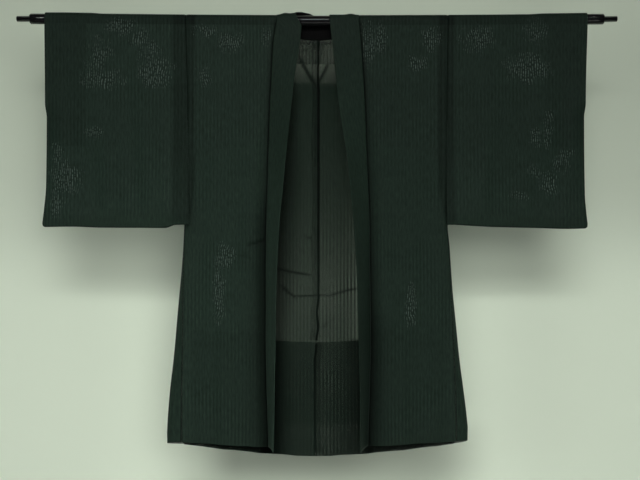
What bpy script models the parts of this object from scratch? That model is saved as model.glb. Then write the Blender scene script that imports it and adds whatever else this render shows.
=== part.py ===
"""A haori jacket, open at the front and hung flat on a lacquered rod that runs through both sleeves.

The origin is the middle of the rod's axis. +X runs along the rod to the right as seen from the front,
+Y points from the front of the jacket to its back, and +Z is up. Left and right are as seen from the front.

Each cloth is laid out on the flat first, by its distance x from the middle line and its run, the distance
along the cloth from the ridge over the rod: negative down the front, positive down the back. drape() then
hangs it on the rod. Sizes are in millimetres, and become metres where a mesh is made.
"""

import math

import bmesh
import bpy
import numpy as np

METRES = 0.001

# Rod
ROD_RADIUS = 12.0
ROD_HALF_LENGTH = 660.0
ROD_CHAMFER = 2.5
STUD_RADIUS = 6.5
STUD_LENGTH = 30.0
ROD_SIDES = 32

# Cloth walls and the gap between neighbours
BODY_WALL = 1.5
LINING_WALL = 1.2
COLLAR_WALL = 2.4
GAP = 0.3

# Depth of the hanging cloth, from the rod's axis
WRAP = ROD_RADIUS + GAP + BODY_WALL / 2
COLLAR_LIFT = (COLLAR_WALL - BODY_WALL) / 2
HEM_SPREAD = 9.0
QUARTER = WRAP * math.pi / 2
LAYER_INSET = (BODY_WALL + LINING_WALL) / 2 + GAP

# Hems, as drops below the rod's axis
BODY_DROP = 1000.0
HEM_STARTS = 150.0
FRONT_HEM_AT_COLLAR = 975.0
FRONT_HEM_AT_SIDE = {"left": 966.0, "right": 964.0}
FOLD_HEM = {"left": 975.0, "right": 969.0}
BACK_HEM_AT_CENTRE = 1008.0
BACK_HEM_RISE = 27.0
BACK_HEM_REACH = 315.0
HEM_FOLD_TOP = 738.0
HEM_FOLD_MARGIN = 2.5

# Rows shared by the cloths that meet: places over the rod, as parts of a quarter turn, and drops below it
RIDGE_PARTS = (0.75, 0.5, 0.25, 0)
DROPS = (0, 55, 110, 170, 230, 290, 345, 415, 490, 535, 590, 650, 738, 800, 868, 930, 1000)

# Columns of the body and of the collar, as parts of the way from the inner edge to the outer one
BODY_ACROSS = (0, 0.035, 0.07, 0.105, 0.155, 0.32, 0.54, 0.77, 1)
COLLAR_ACROSS = tuple(i / 6 for i in range(7))

# Back neck
NECK_START = QUARTER / 2
NECK_DROP = 47.0
NECK_SQUARENESS = 2.2
NECK_ANGLES = (0, 3, 6.5, 10.5, 18, 28, 40, 52, 64, 76, 84, 90)
ROWS_UNDER_NECK = (NECK_DROP + 12, 80)
BAND_TOP = 15.0
BAND_LIFT = 1.6

# Front edge: the panel sinks to a valley at the collar seam, and the collar stands forward out of it
VALLEY_DEPTH = 9.0
VALLEY_WIDTH = 28.0
VALLEY_FADE = 420.0
COLLAR_REACH = 46.0
COLLAR_REACH_FADE = 230.0
COLLAR_BOW = 3.0

# The left collar's free edge rides up off the rod: how far, over which x, and round which run
TIP_LIFT = 5.0
TIP_X = (20, 55)
TIP_RUN = 3.0
TIP_SPAN = (2, 16)

# Sleeves
ARMHOLE_DROP = 230.0
SLEEVE_DROP = 460.0
CUFF_DROP = 228.0
CUFF_CLOSE = 33.0
SLEEVE_SWING = 27.0
SWING_DROP = 220.0
SWING_LEFT_AT_CUFF = 0.4
SWING_EASES = (300, 500)
BOTTOM_HALF_DEPTH = 4.5
EDGE_ROUNDING = 40.0
CORNER_RADIUS = 9.0
FURI_CLEAR_DROP = 246.0
FURI_BACK_DROP = 430.0
FURI_CLEARANCE = 1.35

# Cuff facings
FACING_WIDTH = 96.0
FACING_PART = 0.62
FACING_EDGE = 2.0
FACING_CLOSED_EDGE = 14.0
FACING_SLACK = 0.7
FACING_SLACK_STARTS = 60.0
FACING_MARGIN = 4.0
FACING_EASE = 35.0

# Rows of the sleeve, as parts of the way down to its bottom fold, and round that fold as degrees
SLEEVE_PARTS = (
    *(0, 0.08, 0.16, 0.24, 0.32, 0.39, 0.415, 0.435, 0.46),
    *(0.48, 0.55, 0.62, 0.7, 0.78, 0.86, 0.93, 0.978, 1),
)
FOLD_ANGLES = (35, 65, 90, 115, 145)

# Columns of the sleeve: parts of its plain width, then distances from its outer edge
SLEEVE_ACROSS = (0, 0.12, 0.55)
EDGE_BEND = 27.0
NEAR_EDGE = (
    *(FACING_WIDTH + FACING_EASE, FACING_WIDTH + FACING_MARGIN, EDGE_ROUNDING, EDGE_BEND),
    *(FACING_CLOSED_EDGE, 6, 2, 0.5, 0),
)

# Gussets: how far round from the front panel's edge, at -1, to the back panel's, at 1
GUSSET_TOP = 345.0
GUSSET_AROUND = (-1, -0.8, -0.55, -0.25, 0, 0.25, 0.55, 0.8, 1)
GUSSET_LEAST_BULGE = 0.5

# The collar, from the middle line: its seam to the body, and its free edge
COLLAR = {
    "left": {
        "drop": (0, 60, 130, 200, 265, 330, 400, 470, 605, 750, 860, 975),
        "seam": (93, 101, 105, 108.5, 111, 113, 115, 117, 118.5, 118.5, 116.5, 113),
        "edge": (35, 40, 50, 58.5, 65.5, 72, 78.5, 85, 90, 93.5, 97, 98),
    },
    "right": {
        "drop": (0, 60, 130, 200, 265, 330, 400, 470, 605, 750, 860, 975),
        "seam": (97, 102, 107, 111, 113.5, 116, 119, 121.5, 123, 125, 122.5, 118.5),
        "edge": (30, 36, 43, 50.5, 60, 70, 76, 82, 91, 96, 97.5, 96),
    },
}

# The side of the body, from the middle line: the panels' edge, and the fold of the gusset beyond it
SIDE = {
    "left": {
        "drop": (0, 230, 345, 490, 535, 650, 756, 868, 975),
        "panel": (300, 295, 298, 302, 303.5, 305.5, 306.5, 307.5, 308),
        "fold": (300, 297, 300.5, 304, 306, 315, 325, 336, 343),
    },
    "right": {
        "drop": (0, 230, 345, 490, 535, 650, 756, 868, 969),
        "panel": (300, 297, 297, 297, 301, 306, 311, 315, 317),
        "fold": (300, 299, 299.5, 299.5, 303.5, 311, 322, 334, 345),
    },
}

# The sleeve's outer edge by drop, and its bottom by distance from the middle line
SLEEVE_EDGE = {
    "left": {"drop": (0, 207, 380, 440, 482), "edge": (623, 621, 621, 625, 630)},
    "right": {"drop": (0, 200, 405, 440, 484), "edge": (619, 614, 614, 616, 621)},
}
SLEEVE_BOTTOM = {
    "left": {"x": (290, 320, 345, 500, 560, 630), "drop": (474, 474, 481, 480, 478, 479)},
    "right": {"x": (290, 306, 345, 409, 500, 570, 621), "drop": (474, 474, 476, 479, 481, 483, 482)},
}
FURI_AT_BOTTOM = {"left": 290.0, "right": 294.5}

SIGN = {"left": -1, "right": 1}


def eased(value, start, end):
    """0 before start and 1 after end, with a smooth step between them."""
    t = min(max((value - start) / (end - start), 0.0), 1.0)
    return t * t * (3 - 2 * t)


def mixed(a, b, t):
    return a + (b - a) * t


def column(table, key, at, name):
    """A table's column read at a place along its key, on straight lines between the rows."""
    return float(np.interp(at, table[key], table[name]))


# The body


def spread(drop):
    """How much further than the rod the hanging cloth stands from the rod's axis."""
    return HEM_SPREAD * (max(drop, 0.0) / BODY_DROP) ** 1.2


def front_hem(side, x):
    collar_x = COLLAR[side]["seam"][-1]
    side_x = SIDE[side]["panel"][-1]
    return mixed(FRONT_HEM_AT_COLLAR, FRONT_HEM_AT_SIDE[side], (x - collar_x) / (side_x - collar_x))


def back_hem(x):
    return BACK_HEM_AT_CENTRE - BACK_HEM_RISE * (x / BACK_HEM_REACH) ** 1.5


def body_drop(side, x, run):
    """The drop of a point of the body: the rows bend to follow the hem as they near it."""
    drop = abs(run) - QUARTER
    hem = front_hem(side, x) if run < 0 else back_hem(x)
    return drop + (hem - BODY_DROP) * eased(drop, HEM_STARTS, BODY_DROP)


def valley(side, x, drop):
    """How far the front panel sinks towards the collar seam."""
    seam = column(COLLAR[side], "drop", drop, "seam")
    near = 1 - eased(x, seam, seam + VALLEY_WIDTH)
    return VALLEY_DEPTH * near * eased(drop, 0, VALLEY_FADE)


def drape(side, x, run, inset=0.0):
    """A flat point of the body hung on the rod. inset moves it towards the inside of the jacket."""
    face = -1 if run < 0 else 1
    if abs(run) <= QUARTER:
        angle = abs(run) / WRAP
        y = face * (WRAP - inset) * math.sin(angle)
        return (SIGN[side] * x, y, (WRAP - inset) * math.cos(angle))
    drop = body_drop(side, x, run)
    depth = WRAP + spread(drop) - inset
    if face < 0:
        depth -= valley(side, x, drop)
    return (SIGN[side] * x, face * depth, -drop)


def neck_curve(side, angle, inset=0.0):
    """A point of the back neck on the flat: angle 0 is at the shoulder, and a quarter turn at the centre."""
    power = 2 / NECK_SQUARENESS
    width = COLLAR[side]["seam"][0] - inset
    depth = QUARTER + NECK_DROP - inset - NECK_START
    x = width * max(math.cos(angle), 0.0) ** power
    return x, NECK_START + depth * math.sin(angle) ** power


def body_rows(side):
    """(run, inner edge) of each row of a body length, from the front hem to the back hem."""
    rows = [(-QUARTER - drop, column(COLLAR[side], "drop", drop, "seam")) for drop in reversed(DROPS)]
    shoulder = COLLAR[side]["seam"][0]
    rows += [(-QUARTER * part, shoulder) for part in RIDGE_PARTS]
    rows.append((QUARTER / 4, shoulder))
    for angle in NECK_ANGLES:
        x, run = neck_curve(side, math.radians(angle))
        rows.append((run, max(x, GAP / 2)))
    below_neck = [drop for drop in DROPS if drop > max(ROWS_UNDER_NECK)]
    return rows + [(QUARTER + drop, GAP / 2) for drop in (*ROWS_UNDER_NECK, *below_neck)]


def panel_edge(side, run):
    return column(SIDE[side], "drop", abs(run) - QUARTER, "panel")


def body_grid(side):
    grid = []
    for run, inner in body_rows(side):
        outer = panel_edge(side, run)
        grid.append([drape(side, mixed(inner, outer, t), run) for t in BODY_ACROSS])
    return grid


def hem_fold_grid(side, face):
    """The turned-up hem, inside the front (face -1) or the back (face 1), on the panel's own rows."""
    grid = []
    for drop in [drop for drop in DROPS if drop >= HEM_FOLD_TOP]:
        run = face * (QUARTER + drop)
        inner = column(COLLAR[side], "drop", drop, "seam") if face < 0 else 0.0
        outer = panel_edge(side, run)
        lowest = inner + (HEM_FOLD_MARGIN if face < 0 else GAP / 2)
        row = []
        for t in BODY_ACROSS:
            x = min(max(mixed(inner, outer, t), lowest), outer - HEM_FOLD_MARGIN)
            row.append(drape(side, x, run, LAYER_INSET))
        grid.append(row)
    return grid


# The gussets


def gusset_grid(side):
    """The gusset bends from the front panel's edge round its own fold to the back panel's edge."""
    grid = []
    for drop in [drop for drop in DROPS if drop >= GUSSET_TOP]:
        panel = column(SIDE[side], "drop", drop, "panel") + GAP + BODY_WALL / 2
        fold = max(column(SIDE[side], "drop", drop, "fold"), panel + GUSSET_LEAST_BULGE)
        hems = (front_hem(side, panel), FOLD_HEM[side], back_hem(panel))
        depth = WRAP + spread(drop)
        row = []
        for w in GUSSET_AROUND:
            x = mixed(fold, panel, w * w)
            hem = float(np.interp(w, (-1, 0, 1), hems))
            bend = (hem - BODY_DROP) * eased(drop, HEM_STARTS, BODY_DROP)
            row.append((SIGN[side] * x, w * depth, -drop - bend))
        grid.append(row)
    return grid


# The collar


def collar_reach(drop):
    """How far the collar's free edge stands forward of its seam."""
    return COLLAR_REACH * (1 - math.exp(-max(drop, 0.0) / COLLAR_REACH_FADE))


def collar_front_row(side, drop):
    """A row of the collar down the front, from its seam to its free edge."""
    seam_x = column(COLLAR[side], "drop", drop, "seam")
    edge_x = column(COLLAR[side], "drop", drop, "edge")
    reach = collar_reach(drop)
    tilt = math.atan2(reach, seam_x - edge_x)
    start_x = seam_x - GAP - COLLAR_WALL / 2 * math.sin(tilt)
    _, seam_y, z = drape(side, seam_x, -QUARTER - drop, -COLLAR_LIFT)
    row = []
    for t in COLLAR_ACROSS:
        bow = COLLAR_BOW * math.sin(math.pi * t) * math.sin(tilt)
        row.append((SIGN[side] * (mixed(start_x, edge_x, t) - bow), seam_y - reach * t, z))
    return row


def collar_top_rows(side):
    """The collar over the rod and round to the centre back, where its rows fan out by a quarter turn."""
    shoulder = COLLAR[side]["seam"][0] - GAP
    edge_x = COLLAR[side]["edge"][0]
    hung = []
    for part in RIDGE_PARTS[:-1]:
        row = [(mixed(shoulder, edge_x, t), -QUARTER * part) for t in COLLAR_ACROSS]
        hung.append([drape(side, x, run, -COLLAR_LIFT - collar_tip(side, x, run)) for x, run in row])
    seams = [(shoulder, 0.0), (shoulder, QUARTER / 4)]
    seams += [neck_curve(side, math.radians(angle), GAP) for angle in NECK_ANGLES]
    for i, (seam_x, seam_run) in enumerate(seams):
        turned = i / (len(seams) - 1)
        turn = math.pi / 2 * turned
        edge = (edge_x * math.cos(turn), BAND_TOP * math.sin(turn))
        row = []
        for t in COLLAR_ACROSS:
            x, run = mixed(seam_x, edge[0], t), mixed(seam_run, edge[1], t)
            band = BAND_LIFT * turned**0.5 * math.sin(math.pi / 2 * t)
            row.append(drape(side, x, run, -COLLAR_LIFT - collar_tip(side, x, run) - band))
        hung.append(row)
    return hung


def collar_tip(side, x, run):
    """The left collar's free edge rides up off the rod as it turns in to the neck."""
    if side == "right":
        return 0.0
    near_edge = 1 - eased(x, *TIP_X)
    near_ridge = 1 - eased(abs(run - TIP_RUN), *TIP_SPAN)
    return TIP_LIFT * near_edge * near_ridge


def collar_grid():
    halves = {}
    for side in ("left", "right"):
        rows = [collar_front_row(side, drop) for drop in reversed(DROPS)]
        halves[side] = rows + collar_top_rows(side)
    return halves["left"] + halves["right"][-2::-1]


# The sleeves


def sleeve_edge(side, x, drop):
    """The outer edge at a drop, rounded at the bottom corner."""
    edge = column(SLEEVE_EDGE[side], "drop", drop, "edge")
    into_corner = drop - (sleeve_bottom(side, edge) - CORNER_RADIUS)
    if into_corner <= 0:
        return edge
    into_corner = min(into_corner, CORNER_RADIUS)
    return edge - CORNER_RADIUS + math.sqrt(CORNER_RADIUS**2 - into_corner**2)


def sleeve_bottom(side, x):
    return column(SLEEVE_BOTTOM[side], "x", x, "drop")


def sleeve_inner_edge(side, face, drop):
    """The edge towards the body. Below the armhole it is free, and passes in front of the body."""
    seam = column(SIDE[side], "drop", drop, "panel") + GAP
    if drop <= ARMHOLE_DROP:
        return seam
    at_bottom = FURI_AT_BOTTOM[side]
    bottom = sleeve_bottom(side, at_bottom)
    if face < 0:
        clear = column(SIDE[side], "drop", FURI_CLEAR_DROP, "panel") + GAP
        down = max(drop - FURI_CLEAR_DROP, 0) / (bottom - FURI_CLEAR_DROP)
        return mixed(min(seam, clear), at_bottom, down)
    beside = column(SIDE[side], "drop", drop, "fold") + FURI_CLEARANCE
    beside = mixed(seam, beside, eased(drop, ARMHOLE_DROP, FURI_CLEAR_DROP))
    return mixed(beside, at_bottom, eased(drop, FURI_BACK_DROP, bottom))


def sleeve_wrap(from_edge):
    """The radius over the rod, larger where the cuff facing lies under the sleeve."""
    facing = LINING_WALL + GAP
    return WRAP + facing * (1 - eased(from_edge, FACING_WIDTH + FACING_MARGIN, FACING_WIDTH + FACING_EASE))


def sleeve_middle(x, drop):
    """The sleeve's middle depth: below the armhole it swings forward, most of all beside the body."""
    swing = min(max((drop - ARMHOLE_DROP) / SWING_DROP, 0.0), 1.0)
    return -SLEEVE_SWING * swing * mixed(1, SWING_LEFT_AT_CUFF, eased(x, *SWING_EASES))


def sleeve_half_depth(x, edge, drop):
    """Half the distance between the sleeve's front and back, which meet at the closed part of the edge."""
    from_edge = edge - x
    upper = sleeve_wrap(from_edge) + spread(min(drop, ARMHOLE_DROP))
    half = mixed(upper, BOTTOM_HALF_DEPTH, eased(drop, ARMHOLE_DROP, FURI_BACK_DROP))
    closed = eased(drop, CUFF_DROP - CUFF_CLOSE, CUFF_DROP)
    part = 1 - min(from_edge / EDGE_ROUNDING, 1)
    return half * mixed(1, math.sqrt(max(1 - part * part, 0.0)), closed)


def sleeve_sheet_point(side, x, edge, face, drop, inset=0.0):
    y = sleeve_middle(x, drop) + face * (sleeve_half_depth(x, edge, drop) - inset)
    return (SIGN[side] * x, y, -drop)


def sleeve_ridge_point(side, x, edge, angle, inset=0.0):
    """A point over the rod, at an angle from the top: negative to the front."""
    radius = sleeve_wrap(edge - x) - inset
    return (SIGN[side] * x, radius * math.sin(angle), radius * math.cos(angle))


def sleeve_columns(inner, outer):
    """Places from the inner edge to the outer one, close together where the closed edge rounds off."""
    plain = [mixed(inner, outer - NEAR_EDGE[0], t) for t in SLEEVE_ACROSS]
    return plain + [outer - step for step in NEAR_EDGE]


def sleeve_row_edge(side, part):
    edge_x = column(SLEEVE_EDGE[side], "drop", part * SLEEVE_DROP, "edge")
    return sleeve_edge(side, edge_x, part * (sleeve_bottom(side, edge_x) - BOTTOM_HALF_DEPTH))


def sleeve_row(side, face, part, places, inset=0.0):
    """A row of the front (face -1) or the back (face 1), at a part of the way down to the bottom fold."""
    edge = sleeve_row_edge(side, part)
    row = []
    for x in places:
        drop = part * (sleeve_bottom(side, x) - BOTTOM_HALF_DEPTH)
        row.append(sleeve_sheet_point(side, x, edge, face, drop, inset))
    return row


def sleeve_bottom_row(side, angle):
    """A row round the bottom fold, at an angle from the front sheet: 180 degrees is the back sheet."""
    edge_x = SLEEVE_EDGE[side]["edge"][-1]
    below = BOTTOM_HALF_DEPTH * math.sin(angle)
    edge_drop = sleeve_bottom(side, edge_x) - BOTTOM_HALF_DEPTH + below
    edge = sleeve_edge(side, edge_x, edge_drop)
    row = []
    for x in sleeve_columns(FURI_AT_BOTTOM[side], edge):
        drop = sleeve_bottom(side, x) - BOTTOM_HALF_DEPTH
        half = sleeve_half_depth(x, edge, drop)
        y = sleeve_middle(x, drop) - half * math.cos(angle)
        row.append((SIGN[side] * x, y, -drop - below))
    return row


def sleeve_grid(side):
    """Rows all the way round the sleeve: over the rod, down the front, round the bottom, up the back."""

    def ridge_row(part):
        edge = SLEEVE_EDGE[side]["edge"][0]
        places = sleeve_columns(SIDE[side]["panel"][0] + GAP, edge)
        return [sleeve_ridge_point(side, x, edge, part * math.pi / 2) for x in places]

    def sheet_row(face, part):
        inner = sleeve_inner_edge(side, face, part * (sleeve_bottom(side, 0) - BOTTOM_HALF_DEPTH))
        return sleeve_row(side, face, part, sleeve_columns(inner, sleeve_row_edge(side, part)))

    rows = [ridge_row(-part) for part in reversed(RIDGE_PARTS)]
    rows += [sheet_row(-1, part) for part in SLEEVE_PARTS]
    rows += [sleeve_bottom_row(side, math.radians(angle)) for angle in FOLD_ANGLES]
    rows += [sheet_row(1, part) for part in reversed(SLEEVE_PARTS)]
    return rows + [ridge_row(part) for part in RIDGE_PARTS[:-1]]


def cuff_facing_grid(side):
    """A strip inside the cuff opening, from the front over the rod to the back, on the sleeve's own rows."""

    def places(edge, drop):
        closing = eased(drop, CUFF_DROP - 2 * CUFF_CLOSE, CUFF_DROP - CUFF_CLOSE)
        last = mixed(FACING_EDGE, FACING_CLOSED_EDGE, closing)
        return [edge - step for step in (FACING_WIDTH, EDGE_ROUNDING, EDGE_BEND, last)]

    def ridge_row(part):
        edge = SLEEVE_EDGE[side]["edge"][0]
        return [sleeve_ridge_point(side, x, edge, part * math.pi / 2, LAYER_INSET) for x in places(edge, 0)]

    def sheet_row(face, part):
        drop = part * SLEEVE_DROP
        sunk = LAYER_INSET + FACING_SLACK * eased(drop, FACING_SLACK_STARTS, CUFF_DROP - CUFF_CLOSE)
        return sleeve_row(side, face, part, places(sleeve_row_edge(side, part), drop), sunk)

    parts = [part for part in SLEEVE_PARTS if part <= FACING_PART]
    rows = [sheet_row(-1, part) for part in reversed(parts)]
    rows += [ridge_row(-part) for part in RIDGE_PARTS]
    rows += [ridge_row(part) for part in reversed(RIDGE_PARTS[:-1])]
    return rows + [sheet_row(1, part) for part in parts]


# Meshes


def grid_mesh(name, grid, ring=False):
    """Quads over a grid of points. A ring also joins its last row to its first, and welds edges that meet."""
    rows, columns = len(grid), len(grid[0])
    points = [tuple(METRES * value for value in point) for row in grid for point in row]
    faces = []
    for i in range(rows if ring else rows - 1):
        for j in range(columns - 1):
            here, there = i * columns + j, (i + 1) % rows * columns + j
            faces.append((here, here + 1, there + 1, there))
    mesh = bpy.data.meshes.new(name)
    mesh.from_pydata(points, [], faces)
    if ring:
        welded = bmesh.new()
        welded.from_mesh(mesh)
        bmesh.ops.remove_doubles(welded, verts=welded.verts, dist=1e-5)
        welded.to_mesh(mesh)
        welded.free()
    return mesh


def add_cloth(name, grid, wall, material, collection, ring=False):
    """A cloth piece: the open sheet through its grid, with a wall raised on both sides of it."""
    mesh = grid_mesh(name, grid, ring)
    mesh.materials.append(material)
    mesh.shade_smooth()
    piece = bpy.data.objects.new(name, mesh)
    collection.objects.link(piece)
    solid = piece.modifiers.new("Wall", "SOLIDIFY")
    solid.thickness = wall * METRES
    solid.offset = 0
    solid.use_even_offset = True
    return piece


def add_rod(material, collection):
    """The rod is a turned profile, with a thinner stud at each end that a stand's post takes."""
    half = [
        (0, ROD_HALF_LENGTH + STUD_LENGTH),
        (STUD_RADIUS - 1, ROD_HALF_LENGTH + STUD_LENGTH),
        (STUD_RADIUS, ROD_HALF_LENGTH + STUD_LENGTH - 1),
        (STUD_RADIUS, ROD_HALF_LENGTH),
        (ROD_RADIUS - ROD_CHAMFER, ROD_HALF_LENGTH),
        (ROD_RADIUS, ROD_HALF_LENGTH - ROD_CHAMFER),
    ]
    profile = half + [(radius, -along) for radius, along in reversed(half)]
    points = [(radius * METRES, 0, along * METRES) for radius, along in profile]
    edges = [(i, i + 1) for i in range(len(points) - 1)]
    mesh = bpy.data.meshes.new("rod")
    mesh.from_pydata(points, edges, [])
    mesh.materials.append(material)
    rod = bpy.data.objects.new("rod", mesh)
    rod.rotation_euler = (0, math.pi / 2, 0)
    collection.objects.link(rod)
    turn = rod.modifiers.new("Turn", "SCREW")
    turn.axis = "Z"
    turn.steps = ROD_SIDES
    turn.render_steps = ROD_SIDES
    turn.use_merge_vertices = True
    turn.merge_threshold = 1e-5
    turn.use_smooth_shade = True
    return rod


def add_material(name, colour, roughness, metallic=0.0):
    material = bpy.data.materials.new(name)
    material.use_nodes = True
    shader = material.node_tree.nodes["Principled BSDF"]
    shader.inputs["Base Color"].default_value = (*colour, 1)
    shader.inputs["Roughness"].default_value = roughness
    shader.inputs["Metallic"].default_value = metallic
    return material


def clear_scene():
    for thing in list(bpy.data.objects):
        bpy.data.objects.remove(thing)


def main():
    clear_scene()
    haori = bpy.data.collections.new("Haori on a rod")
    bpy.context.scene.collection.children.link(haori)
    gauze = add_material("Silk gauze", (0.014, 0.021, 0.017), 0.7)
    collar_gauze = add_material("Collar gauze", (0.010, 0.016, 0.013), 0.7)
    lacquer = add_material("Black lacquer", (0.006, 0.006, 0.007), 0.12)

    add_rod(lacquer, haori)
    add_cloth("collar", collar_grid(), COLLAR_WALL, collar_gauze, haori)
    for side in ("left", "right"):
        add_cloth(f"body_{side}", body_grid(side), BODY_WALL, gauze, haori)
        add_cloth(f"sleeve_{side}", sleeve_grid(side), BODY_WALL, gauze, haori, ring=True)
        add_cloth(f"gusset_{side}", gusset_grid(side), BODY_WALL, gauze, haori)
        add_cloth(f"cuff_facing_{side}", cuff_facing_grid(side), LINING_WALL, gauze, haori)
        add_cloth(f"hem_fold_front_{side}", hem_fold_grid(side, -1), LINING_WALL, gauze, haori)
        add_cloth(f"hem_fold_back_{side}", hem_fold_grid(side, 1), LINING_WALL, gauze, haori)


main()
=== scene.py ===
"""The looks of a sheer black-green haori jacket that hangs flat on a lacquered rod.

Each cloth is a thin shell on the form of its CAD solid, worked out from the same sizes. It is laid out on
the flat first, by its distance x from the middle line and its run, the distance along the cloth from the
ridge over the rod: negative down the front, positive down the back. Its drop is how far it hangs below the
rod's axis. Sizes are in millimetres and become metres where a mesh is made. Left and right are as seen from
the front.
"""

import functools
import math

import bmesh
import bpy
import numpy as np
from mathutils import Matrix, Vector

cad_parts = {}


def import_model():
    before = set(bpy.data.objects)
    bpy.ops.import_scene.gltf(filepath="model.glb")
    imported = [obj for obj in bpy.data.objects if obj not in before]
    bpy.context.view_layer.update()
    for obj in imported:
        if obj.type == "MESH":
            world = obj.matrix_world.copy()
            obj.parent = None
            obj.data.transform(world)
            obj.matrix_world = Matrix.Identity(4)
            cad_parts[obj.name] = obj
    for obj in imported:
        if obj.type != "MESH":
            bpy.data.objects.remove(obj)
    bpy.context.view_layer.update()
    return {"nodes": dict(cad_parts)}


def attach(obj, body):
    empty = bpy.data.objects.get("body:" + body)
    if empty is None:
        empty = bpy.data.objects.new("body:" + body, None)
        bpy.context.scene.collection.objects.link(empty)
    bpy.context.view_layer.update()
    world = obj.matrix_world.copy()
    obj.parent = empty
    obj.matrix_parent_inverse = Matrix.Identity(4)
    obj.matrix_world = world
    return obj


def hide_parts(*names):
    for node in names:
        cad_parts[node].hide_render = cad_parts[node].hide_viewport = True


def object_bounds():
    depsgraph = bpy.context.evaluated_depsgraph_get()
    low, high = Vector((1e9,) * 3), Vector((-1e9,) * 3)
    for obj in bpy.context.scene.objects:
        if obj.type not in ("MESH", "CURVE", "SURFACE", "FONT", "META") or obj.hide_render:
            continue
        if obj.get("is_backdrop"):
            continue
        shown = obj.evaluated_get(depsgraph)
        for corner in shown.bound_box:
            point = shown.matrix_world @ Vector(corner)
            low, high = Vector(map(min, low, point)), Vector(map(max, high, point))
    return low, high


METRES = 0.001

# Rod and cloth, as in the CAD
ROD_RADIUS = 12.0
BODY_WALL = 1.5
LINING_WALL = 1.2
COLLAR_WALL = 2.4
GAP = 0.3
WRAP = ROD_RADIUS + GAP + BODY_WALL / 2
QUARTER = WRAP * math.pi / 2
COLLAR_LIFT = (COLLAR_WALL - BODY_WALL) / 2
HEM_SPREAD = 9.0
LAYER_INSET = (BODY_WALL + LINING_WALL) / 2 + GAP

# The shell that stands for each cloth, and the fold at a hem
SHELL = 0.4
HEM_FOLD_RADIUS = LAYER_INSET / 2

# Hems, as drops below the rod's axis
BODY_DROP = 1000.0
HEM_STARTS = 150.0
FRONT_HEM_AT_COLLAR = {"left": 981.0, "right": 978.5}
COLLAR_HEM_AT_EDGE = 985.0
FRONT_HEM_AT_SIDE = {"left": 968.0, "right": 966.5}
FOLD_HEM = {"left": 976.0, "right": 969.0}
BACK_HEM_AT_CENTRE = 1009.5
BACK_HEM_RISE = 28.5
BACK_HEM_REACH = 315.0
HEM_FOLD_TOP = 738.0

# Back neck
NECK_START = QUARTER / 2
NECK_DROP = 47.0
NECK_SQUARENESS = 2.2
BAND_TOP = 15.0
BAND_LIFT = 1.6

# The front panel sinks to a valley at the collar's seam, and the collar stands forward out of it
VALLEY_DEPTH = 9.0
VALLEY_WIDTH = 28.0
VALLEY_FADE = 420.0
COLLAR_REACH = 46.0
COLLAR_REACH_FADE = 230.0
COLLAR_BOW = 3.0
COLLAR_FOLD_RADIUS = 0.9

# How far the body reaches under the collar's edge, beyond the seam
UNDER_COLLAR = 1.6

# The left collar's free edge where it crosses the rod: how much further out than it hangs, over which run
# this comes in, how far it curls forward, and how high it stands as it turns in to the neck
TIP_STEP = 14.0
TIP_STARTS = (-38, -8)
TIP_CURL = 4.5
TIP_RISE = {"turned": (0, 0.33, 0.55, 0.72, 0.83, 1), "rise": (4.6, 9.4, 12.2, 12.2, 10.0, 2.0)}

# The collar's hump over each shoulder: (x of its middle, height), its width, and the run where it fades
SHOULDER_HUMP = {"left": (74.0, 2.8), "right": (78.0, 2.2)}
SHOULDER_HUMP_WIDTH = 9.0
SHOULDER_HUMP_FADES = (4, 16)

# Sleeves
ARMHOLE_DROP = 230.0
SLEEVE_DROP = 460.0
CUFF_DROP = 228.0
CUFF_CLOSE = 33.0
SLEEVE_SWING = 27.0
SWING_DROP = 220.0
SWING_LEFT_AT_CUFF = 0.4
SWING_EASES = (300, 500)
BOTTOM_HALF_DEPTH = 4.5
EDGE_ROUNDING = 40.0
CORNER_RADIUS = 9.0
FURI_CLEAR_DROP = 246.0
FURI_BACK_DROP = 430.0
FURI_CLEARANCE = 1.35

# Cuff facings
FACING_WIDTH = 96.0
FACING_DROP = 285.0
FACING_EDGE = 2.0
FACING_CLOSED_EDGE = 14.0
FACING_SLACK = 0.7
FACING_SLACK_STARTS = 60.0
FACING_MARGIN = 4.0
FACING_EASE = 35.0

# Gussets
GUSSET_TOP = 345.0

# The collar, from the middle line: its seam to the body, and its free edge
COLLAR = {
    "left": {
        "drop": (0, 60, 130, 200, 265, 330, 400, 470, 605, 750, 860, 975),
        "seam": (93, 101, 105, 108.5, 111, 113, 115, 117, 118.5, 118.5, 116.5, 113),
        "edge": (35, 40, 50, 58.5, 65.5, 72, 78.5, 85, 90, 93.5, 97, 98),
    },
    "right": {
        "drop": (0, 60, 130, 200, 265, 330, 400, 470, 605, 750, 860, 975),
        "seam": (97, 102, 107, 111, 113.5, 116, 119, 121.5, 123, 125, 122.5, 118.5),
        "edge": (30, 36, 43, 50.5, 60, 70, 76, 82, 91, 96, 97.5, 96),
    },
}

# The side of the body, from the middle line: the panels' edge, and the fold of the gusset beyond it
SIDE = {
    "left": {
        "drop": (0, 230, 345, 490, 535, 650, 756, 868, 975),
        "panel": (300, 295, 298, 302, 303.5, 305.5, 306.5, 307.5, 308),
        "fold": (300, 297, 300.5, 304, 306, 315, 325, 336, 343),
    },
    "right": {
        "drop": (0, 230, 345, 490, 535, 650, 756, 868, 969),
        "panel": (300, 297, 297, 297, 301, 306, 311, 315, 317),
        "fold": (300, 299, 299.5, 299.5, 303.5, 311, 322, 334, 345),
    },
}

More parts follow.
